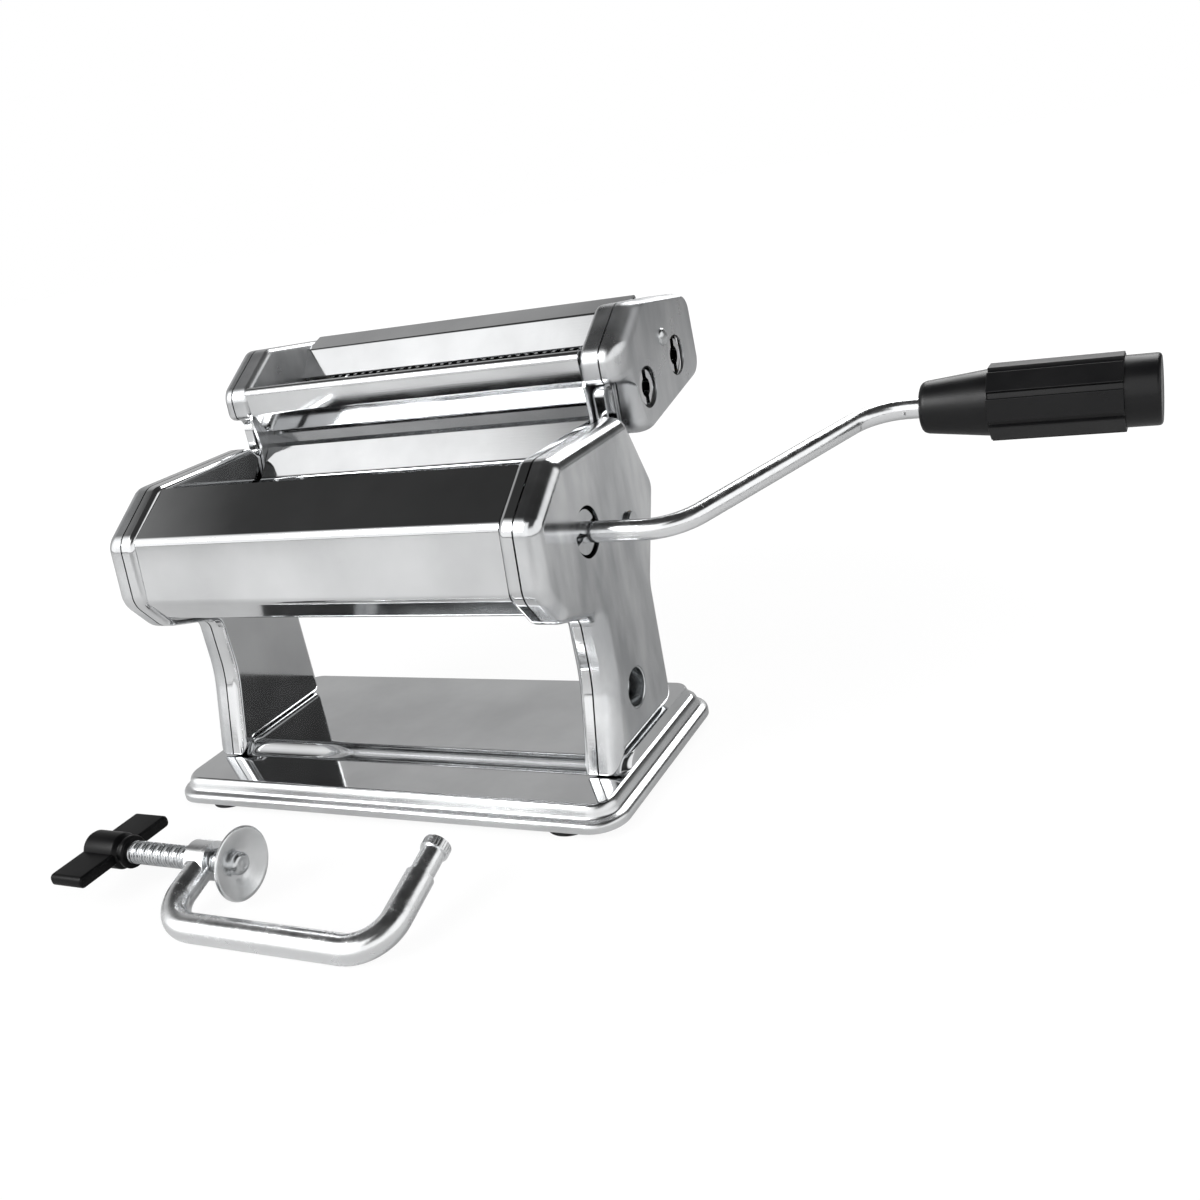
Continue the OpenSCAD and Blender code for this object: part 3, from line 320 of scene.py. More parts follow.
def insetCorners(corners, depth):
    moved = []
    for i, (y, z, radius) in enumerate(corners):
        before, after = Vector(corners[i - 1][:2]), Vector(corners[(i + 1) % len(corners)][:2])
        corner, turn = shiftCorner(before, Vector((y, z)), after, depth)
        moved.append((corner.x, corner.y, max(leastRadius, radius - depth if turn > 0 else radius + depth)))
    return moved


def outlineAt(corners, depth, steps=8):
    inset = insetCorners(corners, depth)
    drawn = []
    for i, (y, z, radius) in enumerate(inset):
        before, after = Vector(inset[i - 1][:2]), Vector(inset[(i + 1) % len(inset)][:2])
        drawn += arcCorner(before, Vector((y, z)), after, radius, steps)
    return drawn


def sectionAt(corners, depth, x):
    return [(x, q.x, q.y) for q in outlineAt(corners, depth)]


def cutHoles(piece, holes):
    # holes are (y, z, radius, x from, x to)
    drill = bpy.data.objects.new("drill", joinMeshes("drill", *[
        turnedMesh("drill", [(start, radius), (end, radius)], (y, z), 64)
        for y, z, radius, start, end in holes]))
    scene.collection.objects.link(drill)
    cut = piece.modifiers.new("holes", "BOOLEAN")
    cut.operation = "DIFFERENCE"
    cut.solver = "EXACT"
    cut.object = drill
    bakeModifiers(piece)
    bpy.data.objects.remove(drill)
    return piece


mergeGap = 0.002  # mm, between the loose triangles of a CAD node
flatAngle = 0.2  # degrees, under which two faces are one


def finishNode(name, material):
    # a merged, smooth copy of a CAD node whose shape is already right
    mesh = nodes[name].data.copy()
    work = bmesh.new()
    work.from_mesh(mesh)
    bmesh.ops.remove_doubles(work, verts=work.verts, dist=mergeGap * mm)
    bmesh.ops.dissolve_limit(work, angle_limit=math.radians(flatAngle), verts=work.verts, edges=work.edges)
    work.to_mesh(mesh)
    work.free()
    return smoothFaces(addObject(name + "Finish", mesh, material))


def finishWith(name, material, grown):
    # the same copy, with forms grown for it in one mesh
    piece = finishNode(name, material)
    piece.data = joinMeshes(name + "Finish", piece.data, grown.data)
    piece.data.materials.append(material)
    bpy.data.objects.remove(grown)
    return piece


# Geometry Nodes: one tree per kind of repeated form

decimal, whole, spot = "NodeSocketFloat", "NodeSocketInt", "NodeSocketVector"


def startTree(name, sizes):
    tree = bpy.data.node_groups.new(name, "GeometryNodeTree")
    tree.interface.new_socket("Geometry", in_out="OUTPUT", socket_type="NodeSocketGeometry")
    for label, kind in sizes + [("Material", "NodeSocketMaterial")]:
        tree.interface.new_socket(label, in_out="INPUT", socket_type=kind)
    return tree, addNode(tree, "NodeGroupInput").outputs, addNode(tree, "NodeGroupOutput")


def endTree(tree, shape, given, sink):
    solid = addNode(tree, "GeometryNodeRealizeInstances", None, {"Geometry": shape})
    coated = addNode(tree, "GeometryNodeSetMaterial", None, {
        "Geometry": solid.outputs["Geometry"], "Material": given["Material"]})
    tree.links.new(coated.outputs["Geometry"], sink.inputs["Geometry"])
    return tree


def growPiece(name, tree, values):
    piece = bpy.data.objects.new(name, bpy.data.meshes.new(name))
    scene.collection.objects.link(piece)
    grow = piece.modifiers.new("grow", "NODES")
    grow.node_group = tree
    for item in tree.interface.items_tree:
        if item.in_out == "INPUT":
            grow[item.identifier] = values[item.name]
    return bakeModifiers(piece)


def threadTree():
    # a helical ridge round a core, along X
    tree, given, sink = startTree("screwThread", [
        ("Length", decimal), ("Pitch", decimal), ("Radius", decimal), ("Ridge", decimal), ("Start", spot)])
    turns = addNode(tree, "ShaderNodeMath", {"operation": "DIVIDE"}, {0: given["Length"], 1: given["Pitch"]})
    middle = addNode(tree, "ShaderNodeMath", {"operation": "SUBTRACT"}, {
        0: given["Radius"], 1: given["Ridge"]})
    coil = addNode(tree, "GeometryNodeCurveSpiral", None, {
        "Resolution": 40, "Rotations": turns.outputs["Value"], "Start Radius": middle.outputs["Value"],
        "End Radius": middle.outputs["Value"], "Height": given["Length"]})
    ridge = addNode(tree, "GeometryNodeCurvePrimitiveCircle", None, {
        "Resolution": 6, "Radius": given["Ridge"]})
    wound = addNode(tree, "GeometryNodeCurveToMesh", None, {
        "Curve": coil.outputs["Curve"], "Profile Curve": ridge.outputs["Curve"], "Fill Caps": True})
    core = addNode(tree, "GeometryNodeMeshCylinder", None, {
        "Vertices": 64, "Radius": middle.outputs["Value"], "Depth": given["Length"]})
    half = addNode(tree, "ShaderNodeMath", {"operation": "MULTIPLY"}, {0: given["Length"], 1: 0.5})
    lift = addNode(tree, "ShaderNodeCombineXYZ", None, {"Z": half.outputs["Value"]})
    raised = addNode(tree, "GeometryNodeTransform", None, {
        "Geometry": core.outputs["Mesh"], "Translation": lift.outputs["Vector"]})
    both = addNode(tree, "GeometryNodeJoinGeometry")
    tree.links.new(wound.outputs["Mesh"], both.inputs["Geometry"])
    tree.links.new(raised.outputs["Geometry"], both.inputs["Geometry"])
    laid = addNode(tree, "GeometryNodeTransform", None, {
        "Geometry": both.outputs["Geometry"], "Translation": given["Start"], "Rotation": (0, math.pi / 2, 0)})
    return endTree(tree, laid.outputs["Geometry"], given, sink)


def ribTree():
    # bars set round an axis, each standing out from it
    tree, given, sink = startTree("ribRing", [
        ("Count", whole), ("Radius", decimal), ("Width", decimal), ("Depth", decimal), ("Length", decimal),
        ("Place", spot), ("Turn", spot)])
    ring = addNode(tree, "GeometryNodeMeshCircle", None, {
        "Vertices": given["Count"], "Radius": given["Radius"]})
    size = addNode(tree, "ShaderNodeCombineXYZ", None, {
        "X": given["Depth"], "Y": given["Width"], "Z": given["Length"]})
    bar = addNode(tree, "GeometryNodeMeshCube", None, {"Size": size.outputs["Vector"]})
    step = addNode(tree, "ShaderNodeMath", {"operation": "DIVIDE"}, {0: 2 * math.pi, 1: given["Count"]})
    index = addNode(tree, "GeometryNodeInputIndex")
    angle = addNode(tree, "ShaderNodeMath", {"operation": "MULTIPLY"}, {
        0: index.outputs["Index"], 1: step.outputs["Value"]})
    facing = addNode(tree, "ShaderNodeCombineXYZ", None, {"Z": angle.outputs["Value"]})
    bars = addNode(tree, "GeometryNodeInstanceOnPoints", None, {
        "Points": ring.outputs["Mesh"], "Instance": bar.outputs["Mesh"],
        "Rotation": facing.outputs["Vector"]})
    laid = addNode(tree, "GeometryNodeTransform", None, {
        "Geometry": bars.outputs["Instances"], "Translation": given["Place"], "Rotation": given["Turn"]})
    return endTree(tree, laid.outputs["Geometry"], given, sink)


def rivetTree():
    # domed heads at both ends of a line along X
    tree, given, sink = startTree("domedRivets", [
        ("Reach", decimal), ("Radius", decimal), ("Rise", decimal), ("Place", spot)])
    width = addNode(tree, "ShaderNodeMath", {"operation": "MULTIPLY"}, {0: given["Reach"], 1: 2.0})
    span = addNode(tree, "ShaderNodeCombineXYZ", None, {"X": width.outputs["Value"]})
    ends = addNode(tree, "GeometryNodeMeshLine", None, {
        "Count": 2, "Start Location": given["Place"], "Offset": span.outputs["Vector"]})
    ball = addNode(tree, "GeometryNodeMeshUVSphere", None, {"Segments": 40, "Rings": 20, "Radius": 1.0})
    size = addNode(tree, "ShaderNodeCombineXYZ", None, {
        "X": given["Rise"], "Y": given["Radius"], "Z": given["Radius"]})
    heads = addNode(tree, "GeometryNodeInstanceOnPoints", None, {
        "Points": ends.outputs["Mesh"], "Instance": ball.outputs["Mesh"], "Scale": size.outputs["Vector"]})
    return endTree(tree, heads.outputs["Instances"], given, sink)


ribs = ribTree()


# Head and legs: corners of the side outline are (y, z, corner radius)

head = {
    "half": 76.0, "sheet": 1.2, "flange": 4.1, "fold": 2.4, "seam": 0.2, "shownSeam": 0.6,
    "coverDepth": 8.5, "coverSheet": 1.0, "coverEdge": 5.0, "deck": 15.65, "ledge": 11.45,
    "topRear": (26.4, 124), "slopeFoot": (41.5, 95.6), "legRear": 26, "legTop": 63,
    "tongueFront": 29.5, "tongueWidth": 9.0, "tongueTop": 133.9,
    "frontAxis": (-16.4, 96.2), "axleAxis": (14.9, 89.1), "rearAxis": (16.249, 89.152),
    "clampHole": (-2.6, 34.4), "ties": [(-39.8, 97.75), (-34.2, 79.6), (33.6, 99.1)],
    "tieBore": 2.52, "shaftBush": 11, "sleeveHole": 13.0, "clampBore": 5.2, "leftBush": 9,
    "crankHole": 8.6, "axleHole": 3.8, "socketHole": 7.5, "knobHole": 6.5,
    "plateCut": (74, 78.5), "coverCut": (86, 92),  # from and to where the holes are drilled, along X
    "socketOuter": 7.48,
    "socketMouth": [  # from the cover's face
        (-0.3, 7.48), (-0.1, 7.3), (-0.1, 7.1), (-0.4, 6.8), (-6.0, 6.7), (-6.4, 6.4),
        (-6.6, 5.4), (-6.9, 5.2)],
}
webX = head["half"] + head["sheet"]
seamX = webX + head["flange"]
outerX = seamX + head["seam"] + head["coverDepth"]


def slopeZ(y):
    # height of the head's rear slope
    (lowY, lowZ), (topY, topZ) = head["slopeFoot"], head["topRear"]
    return lowZ + (y - lowY) * (topZ - lowZ) / (topY - lowY)


legFoot = [(-26.6, head["ledge"], 0.6), (-17.8, head["deck"], 1)]
legBack = (head["legRear"], head["legTop"], 12)
headFront = [
    (*head["topRear"], 6), (-27.7, 124, 7), (-48.3, 109.4, 8), (-50.3, 86.1, 9), (-41, 74, 8),
    (-18.2, 67, 5), (-18.2, 44, 50)]
tongueFront, tongueTop = head["tongueFront"], head["tongueTop"]
tongueRear = tongueFront + head["tongueWidth"]
plateCorners = legFoot + [
    (head["legRear"], head["deck"], 3), legBack, (*head["slopeFoot"], 7),
    (tongueRear, slopeZ(tongueRear), 1), (tongueRear, tongueTop, 4), (tongueFront, tongueTop, 4),
    (tongueFront, slopeZ(tongueFront), 1)] + headFront
coverCorners = legFoot + [
    (head["legRear"], head["deck"], 6), legBack, (*head["slopeFoot"], 8)] + headFront


def quarterTurn(steps):
    return [math.pi / 2 * k / steps for k in range(steps + 1)]


def panRings(corners, x, depth, wall, fold):
    # a pan that opens outwards: flat web, rounded fold and flange
    turns = quarterTurn(6)
    inner = fold - wall
    rings = [sectionAt(corners, fold * (1 - math.sin(turn)), x + fold * (1 - math.cos(turn)))
             for turn in turns]
    rings += [sectionAt(corners, 0, x + depth), sectionAt(corners, wall, x + depth)]
    rings += [sectionAt(corners, fold - inner * math.sin(turn), x + fold - inner * math.cos(turn))
              for turn in reversed(turns)]
    return rings


def shellRings(corners, x, depth, wall, edge):
    # a drawn cover that opens inwards, with a rounded outer edge
    turns = quarterTurn(8)
    inner = edge - wall
    end = x + depth - edge
    rings = [sectionAt(corners, edge - inner * math.sin(turn), end + inner * math.cos(turn))
             for turn in turns]
    rings += [sectionAt(corners, wall, x), sectionAt(corners, 0, x)]
    rings += [sectionAt(corners, edge * (1 - math.sin(turn)), end + edge * math.cos(turn))
              for turn in reversed(turns)]
    return rings


def endPiece(name, rings, holes, material, left=False):
    piece = cutHoles(addObject(name, loftMesh(name, rings), material), holes)
    if left:
        mirrorMesh(piece.data)
    return smoothFaces(piece, "sheet")


def headHole(spotName, boreName, spanName):
    return (*head[spotName], head[boreName], *head[spanName])


plateRings = panRings(plateCorners, head["half"], head["sheet"] + head["flange"], head["sheet"], head["fold"])
tieHoles = [(*tie, head["tieBore"], *head["plateCut"]) for tie in head["ties"]]
rightPlate = endPiece("rightSidePlate", plateRings, tieHoles + [
    headHole("frontAxis", "shaftBush", "plateCut"), headHole("rearAxis", "sleeveHole", "plateCut"),
    headHole("clampHole", "clampBore", "plateCut")], steel)
settle(rightPlate, "frame", "right_side_plate")
leftPlate = endPiece("leftSidePlate", plateRings, tieHoles + [
    headHole("frontAxis", "leftBush", "plateCut"), headHole("axleAxis", "leftBush", "plateCut")],
    steel, left=True)
settle(leftPlate, "frame", "left_side_plate")

coverX = seamX + head["shownSeam"]
coverRings = shellRings(coverCorners, coverX, outerX - coverX, head["coverSheet"], head["coverEdge"])
rightCover = endPiece("rightEndCover", coverRings, [
    headHole("frontAxis", "crankHole", "coverCut"), headHole("axleAxis", "axleHole", "coverCut"),
    headHole("clampHole", "socketHole", "coverCut")], satin)
settle(rightCover, "frame", "right_cover")
leftCover = endPiece("leftEndCover", coverRings, [
    headHole("axleAxis", "knobHole", "coverCut")], satin, left=True)
settle(leftCover, "frame", "left_cover")

socketEnd = (webX, head["clampBore"])
socketProfile = [
    socketEnd, (webX, head["socketOuter"]), *shiftProfile(head["socketMouth"], outerX), socketEnd]
socket = addObject("clampSocket", turnedMesh("clampSocket", socketProfile, head["clampHole"]), zinc)
settle(smoothFaces(socket, "turned"), "frame", "clamp_socket")
print("side plates and end covers built")


# Stamped base: rounded rectangles from the rim up to the deck

base = {
    "length": 193.2, "width": 98.0, "corner": 12.0, "deckCorner": 6.0, "rim": 3.0, "ledge": 11.4, "rise": 4.2,
    "sheet": 1.2, "riserFront": -25.6, "deckFront": -17.8, "deckRear": 40.0, "rearRun": 3, "riserInset": 5.7,
    "endRun": 0.5, "riserSteps": 10,
    "rimCurve": [  # inset, share of the rim's height
        (0, 0), (0, 0.16), (0.06, 0.24), (0.25, 0.31), (0.7, 0.375), (1.5, 0.42), (2.3, 0.455), (2.85, 0.5),
        (3.15, 0.57), (3.4, 0.68), (3.7, 0.79), (4.1, 0.88), (4.65, 0.945), (5.2, 0.985), (5.6, 1)],
}


def baseRing(inset, front, rear, radius, z):
    x = base["length"] / 2 - inset
    box = [(-x, front, radius), (x, front, radius), (x, rear, radius), (-x, rear, radius)]
    return [(q.x, q.y, z) for q in outlineAt(box, 0, 10)]


def evenRing(inset, z):
    reach = base["width"] / 2 - inset
    return baseRing(inset, -reach, reach, base["corner"] - inset, z)


def baseSkin(thickness):
    rim, ledge, rearRun = base["rim"], base["ledge"], base["rearRun"]
    rings = [
        evenRing(thickness + inset, rim + lift * (ledge - thickness - rim))
        for inset, lift in base["rimCurve"]]
    for k in range(base["riserSteps"] + 1):
        share = k / base["riserSteps"]
        bend = share * share * (3 - 2 * share)
        front = base["riserFront"] + (base["deckFront"] - base["riserFront"]) * share + thickness
        rear = base["deckRear"] + rearRun - rearRun * share - thickness
        inset = thickness + base["riserInset"] + base["endRun"] * share
        z = ledge + base["rise"] * bend - thickness
        rings.append(baseRing(inset, front, rear, base["deckCorner"], z))
    return rings


baseRings = list(reversed(baseSkin(base["sheet"]))) + baseSkin(0)
basePan = addObject("stampedBase", loftMesh("stampedBase", baseRings), baseSteel)
settle(smoothFaces(basePan, "turned"), "frame", "base_plate")
print("base built")


# Bent sheet: an open line in the side view, given a thickness and drawn out along X

def softLine(points, radius, steps=9):
    corners = [Vector(p) for p in points]
    drawn = [corners[0]]
    for i in range(1, len(corners) - 1):
        drawn += arcCorner(corners[i - 1], corners[i], corners[i + 1], radius, steps)
    return drawn + [corners[-1]]


def offsetLine(line, depth):
    moved = []
    for i, point in enumerate(line):
        before = line[i - 1] if i > 0 else 2 * line[0] - line[1]
        after = line[i + 1] if i < len(line) - 1 else 2 * line[i] - line[i - 1]
        moved.append(shiftCorner(before, point, after, depth)[0])
    return moved


def sheetMesh(name, line, thickness, reach):
    ring = line + list(reversed(offsetLine(line, thickness)))
    return loftMesh(name, [[(x, q.x, q.y) for q in ring] for x in (-reach, reach)])


panel = {
    "sheet": 1.0, "bend": 4,
    "line": [(-26.7, 122.8), (-46.7, 109.2), (-48.9, 86.1), (-42.4, 78), (-37, 75.6)],
}
panelMesh = sheetMesh("frontPanel", softLine(panel["line"], panel["bend"]), panel["sheet"], head["half"])
panelFront = smoothFaces(addObject("frontPanel", panelMesh, steel), "sheet")
settle(panelFront, "frame", "front_panel")
print("front panel built")


# Cutter unit: housing pans with a foot, drawn covers, and the sheets between them

cutter = {
    "inner": 74.5, "web": 75.7, "seam": 82.0, "gap": 0.6, "outer": 90.0, "sheet": 1.2, "fold": 2.2,
    "coverSheet": 1.0, "coverLip": 1.6, "footGap": 0.04, "rivet": 3.3, "rivetRise": 1.5,
    "plateCut": (74, 76.5), "coverCut": (86, 92),
    "tieBore": 2.02, "bush": 5.5, "driveBush": 7.2, "driveMouth": 7.5,
    "rim": [
        (38.8, 111.5, 7), (101.01, 122.5, 8), (98.51, 153.8, 8), (49, 158.8, 7), (28, 145.3, 7),
        (28, 134.2, 3), (38.8, 134.2, 2.6)],
    "face": [
        (45.5, 114.2, 5), (98.6, 124.2, 6), (96.6, 151.9, 6), (56, 156.3, 6), (43, 146.5, 6), (39.5, 138, 4),
        (39.9, 130, 6)],
    "foot": [
        (26.5, 106, 1), (37.5, 106, 2), (38.8, 111.5, 2), (44, 118, 2), (44, 137, 2), (29, 137, 2),
        (28, 134.2, 1), (29.5, 124, 6)],
    "drives": [(48.7, 128.3), (78.244, 133.509)], "mates": [(60.916, 132.746), (89.614, 139.812)],
    "rivetPlace": (68.04, 142.31), "ties": [(35.5, 138.2), (93.51, 149.0), (69.64, 121.21)],
}


def blendRings(rim, face, x, end, lip, wall):
    # rings from the rim's outline to the smaller outline of the flat face
    turns = quarterTurn(12)

    def ring(share, depth, at):
        wide, small = outlineAt(rim, depth), outlineAt(face, depth)
        return [(at, a.x + (b.x - a.x) * share, a.y + (b.y - a.y) * share) for a, b in zip(wide, small)]

    rings = [ring(1 - math.sin(turn), wall, x + lip + (end - wall - x - lip) * math.cos(turn))
             for turn in turns]
    rings += [ring(0, wall, x), ring(0, 0, x)]
    return rings + [ring(1 - math.sin(turn), 0, x + lip + (end - x - lip) * math.cos(turn))
                    for turn in reversed(turns)]


def cutterHoles(places, boreName, spanName):
    return [(*q, cutter[boreName], *cutter[spanName]) for q in places]


def cutterEnd(name, left, plateHoles, coverHoles):
    depth = cutter["seam"] - cutter["inner"]
    pan = panRings(cutter["rim"], cutter["inner"], depth, cutter["sheet"], cutter["fold"])
    foot = loftMesh(name, [sectionAt(cutter["foot"], 0, x) for x in (
        cutter["inner"] + cutter["footGap"], cutter["web"] - cutter["footGap"])])
    plate = cutHoles(addObject(name + "Plate", loftMesh(name, pan), satinLight), plateHoles)
    plate.data = joinMeshes(name + "Plate", plate.data, foot)
    plate.data.materials.append(satinLight)
    shell = blendRings(cutter["rim"], cutter["face"], cutter["seam"] + cutter["gap"], cutter["outer"],
                       cutter["coverLip"], cutter["coverSheet"])
    cover = cutHoles(addObject(name + "Cover", loftMesh(name, shell), satinLight), coverHoles)
    if left:
        mirrorMesh(plate.data)
        mirrorMesh(cover.data)
    return smoothFaces(plate, "sheet"), smoothFaces(cover, "turned")


sharedHoles = cutterHoles(cutter["ties"] + [cutter["rivetPlace"]], "tieBore", "plateCut")
sharedHoles += cutterHoles(cutter["mates"], "bush", "plateCut")
rightHoles = sharedHoles + cutterHoles(cutter["drives"], "driveBush", "plateCut")
leftHoles = sharedHoles + cutterHoles(cutter["drives"], "bush", "plateCut")
rivetHole = cutterHoles([cutter["rivetPlace"]], "tieBore", "coverCut")
driveHoles = rivetHole + cutterHoles(cutter["drives"], "driveMouth", "coverCut")
for side, left, plateHoles, coverHoles in (
        ("right", False, rightHoles, driveHoles), ("left", True, leftHoles, rivetHole)):
    plate, cover = cutterEnd(side + "Cutter", left, plateHoles, coverHoles)
    settle(plate, "cutter", "cutter_" + side + "_plate")
    settle(cover, "cutter", "cutter_" + side + "_cover")

guardSet = {
    "sheet": 1.0, "bend": 3, "roll": 2.7, "nose": (30.8, 144.1),
    "line": [(28.6, 136.2), (31.4, 128.5), (36.5, 122.4)],
}
noseY, noseZ = guardSet["nose"]
guardLine = softLine([(noseY - guardSet["roll"], noseZ)] + guardSet["line"], guardSet["bend"], 12)
guardSheet = sheetMesh("guard", guardLine, guardSet["sheet"], cutter["inner"])
guardRoll = turnedMesh("guard", [
    (-cutter["inner"], guardSet["roll"]), (cutter["inner"], guardSet["roll"])], guardSet["nose"])
guard = addObject("frontGuard", joinMeshes("frontGuard", guardSheet, guardRoll), steel)
settle(smoothFaces(guard, "sheet"), "cutter", "cutter_front_guard")

dividerSet = {
    "sheet": 1.0, "bend": 1.2,
    "line": [(65.916, 142.346), (73.244, 152.4), (84.044, 156.2), (85.044, 150.8)],
}
dividerLine = softLine(dividerSet["line"], dividerSet["bend"], 8)
dividerMesh = sheetMesh("divider", dividerLine, dividerSet["sheet"], cutter["inner"])
divider = smoothFaces(addObject("divider", dividerMesh, steel), "sheet")
settle(divider, "cutter", "cutter_divider")

domes = growPiece("rivetDomes", rivetTree(), {
    "Reach": cutter["outer"] * mm, "Radius": cutter["rivet"] * mm, "Rise": cutter["rivetRise"] * mm,
    "Place": Vector((-cutter["outer"], *cutter["rivetPlace"])) * mm, "Material": zinc})
rivets = finishWith("cutter_rivets", zinc, domes)
settle(smoothFaces(rivets, "turned"), "cutter", "cutter_rivets")
print("cutter housing built")


# Clamp: threaded screw, dished pad and wing handle; their profiles start at the pad's face or the wing's end

clampSet = {
    "axis": (-96.399, 12.6), "screw": 4.0, "pitch": 1.25, "ridge": 0.34,
    "threadFrom": -66.0, "threadTo": -20.2, "shank": 3.9, "shankSunk": 8.9, "shankLap": 0.5, "padFace": -17.0,
    "spigot": [(-3.3, 1.8), (-1.0, 1.8)],
    "peened": [
        (-2.3, 3.9), (-1.4, 3.9), (-0.8, 3.7), (-0.3, 3.3), (0.02, 2.8), (0.14, 2.4), (0.06, 1.9),
        (-0.1, 1.6), (-0.02, 1.0), (0.15, 0.4)],
    "pad": [
        (-2.3, 1.9), (-3.0, 1.9), (-3.0, 5.0), (-2.9, 5.5), (-2.2, 7.4), (-1.7, 9.2), (-1.45, 11.4),
        (-1.2, 12.1), (-0.8, 12.45), (-0.4, 12.5), (-0.12, 12.25), (0, 11.9), (-0.04, 11.5),
        (-0.16, 11.1), (-0.5, 10.2), (-1.0, 8.6), (-1.6, 6.7), (-2.0, 5.4), (-2.2, 4.9),
        (-2.3, 4.3), (-2.3, 1.9)],
}
wingSet = {
    "end": -70.0, "span": 42.0, "width": 15.0, "thick": 4.4, "round": 0.8, "hub": 6.4,
    "bladeEdge": [(0, 0.9), (0.3, 0.35), (0.9, 0)],  # along X, inset
    "hubTail": [(0, -1.6), (0.5, -0.5), (1.6, 0)],  # along X, added to the hub's radius
    "hubNose": [
        (-1.2, 0), (-0.4, -0.4), (0.3, -1.3), (1.0, -1.5), (1.6, -1.2), (2.0, -0.7), (3.0, -0.6), (3.6, -0.8),
        (4.0, -1.3)],
}
clampAxis, padFace = clampSet["axis"], clampSet["padFace"]
thread = growPiece("screwThread", threadTree(), {
    "Length": (clampSet["threadTo"] - clampSet["threadFrom"]) * mm, "Pitch": clampSet["pitch"] * mm,
    "Radius": clampSet["screw"] * mm, "Ridge": clampSet["ridge"] * mm,
    "Start": Vector((clampSet["threadFrom"], *clampAxis)) * mm, "Material": zinc})
shank = turnedMesh("shank", [
    (wingSet["end"] - clampSet["shankSunk"], clampSet["shank"]),
    (clampSet["threadFrom"] + clampSet["shankLap"], clampSet["shank"])], clampAxis, 48)
spigot = turnedMesh("spigot", shiftProfile(clampSet["spigot"], padFace), clampAxis, 48)
peened = turnedMesh("peened", shiftProfile(clampSet["peened"], padFace), clampAxis, 48)
screw = addObject("clampScrew", joinMeshes("clampScrew", thread.data, shank, spigot, peened), zinc)
bpy.data.objects.remove(thread)
settle(smoothFaces(screw, "thread"), "screw", "clamp_screw")
padMesh = turnedMesh("pressurePad", shiftProfile(clampSet["pad"], padFace), clampAxis)
pad = addObject("pressurePad", padMesh, padZinc)
settle(smoothFaces(pad, "turned"), "pad", "pressure_pad")


def wingMesh():
    # two flat blades through a short hub with a collar towards the screw
    end = wingSet["end"]
    start = end - wingSet["width"]
    half, thick = wingSet["span"] / 2, wingSet["thick"] / 2
    radius = thick * wingSet["round"]
    blade = [(-half, -thick, radius), (half, -thick, radius), (half, thick, radius), (-half, thick, radius)]
    edge = wingSet["bladeEdge"]
    stations = [(start + x, inset) for x, inset in edge] + [(end - x, inset) for x, inset in reversed(edge)]
    rings = [[(x, clampAxis[0] + q.x, clampAxis[1] + q.y) for q in outlineAt(blade, inset, 6)]
             for x, inset in stations]
    profile = shiftProfile(wingSet["hubTail"], start) + shiftProfile(wingSet["hubNose"], end)
    hub = turnedMesh("hub", [(x, wingSet["hub"] + change) for x, change in profile], clampAxis)
    return joinMeshes("wingHandle", loftMesh("blade", rings), hub)


wing = addObject("wingHandle", wingMesh(), wingBlack)
settle(smoothFaces(wing, "wing"), "screw", "wing_handle")
print("clamp fittings built")


# Crank grip: tapered collar, flat ribs round a barrel, and an end cap

gripSet = {
    "axis": (62.479, 109.541), "start": 182.5, "barrel": 205.0, "cap": 246.0, "end": 256.5, "core": 11.7,
    "ease": 0.3, "taperTop": 11.0, "bore": 3.6,
    "ribs": 8, "ribTop": 12.2, "ribDepth": 2.4, "ribWidth": 7.4, "ribEdge": 0.25,
    "collar": [(0, 7.2), (0.25, 7.8), (0.7, 8.3), (1.4, 8.65), (2.2, 8.85)],  # from the grip's start
    "capRadius": 11.3, "capGap": 0.05,
    "capEnd": [  # from the grip's end
        (-1.3, 11.3), (-0.6, 11.15), (-0.2, 10.8), (0, 10.3), (0, 8.6), (-0.12, 8.2), (-0.12, 0.5)],
}
gripAxis, core, ease = gripSet["axis"], gripSet["core"], gripSet["ease"]
gripStart, barrelStart, capStart = gripSet["start"], gripSet["barrel"], gripSet["cap"]
barrel = turnedMesh("barrel", [
    (gripStart, gripSet["bore"]), *shiftProfile(gripSet["collar"], gripStart),
    (barrelStart, gripSet["taperTop"]), (barrelStart + ease, core - ease), (barrelStart + 2 * ease, core),
    (capStart - ease, core), (capStart, core - ease), (capStart, gripSet["bore"])], gripAxis)
gripRibs = growPiece("gripRibs", ribs, {
    "Count": gripSet["ribs"], "Radius": (gripSet["ribTop"] - gripSet["ribDepth"] / 2) * mm,
    "Width": gripSet["ribWidth"] * mm, "Depth": gripSet["ribDepth"] * mm,
    "Length": (capStart - barrelStart) * mm, "Place": Vector(((barrelStart + capStart) / 2, *gripAxis)) * mm,
    "Turn": Vector((0, math.pi / 2, 0)), "Material": gripBlack})
softEdges(gripRibs, gripSet["ribEdge"])
grip = addObject("crankGrip", joinMeshes("crankGrip", barrel, gripRibs.data), gripBlack)
bpy.data.objects.remove(gripRibs)
settle(smoothFaces(grip, "plain"), "grip", "grip_body")
capMesh = turnedMesh("gripCap", [
    (capStart + gripSet["capGap"], gripSet["capRadius"]),
    *shiftProfile(gripSet["capEnd"], gripSet["end"])], gripAxis)
cap = addObject("gripCap", capMesh, gripBlack)
settle(smoothFaces(cap, "plain"), "grip", "grip_cap")
print("grip built")


# Clamp tip: crimped ridges round the end collar, one mesh with the rod

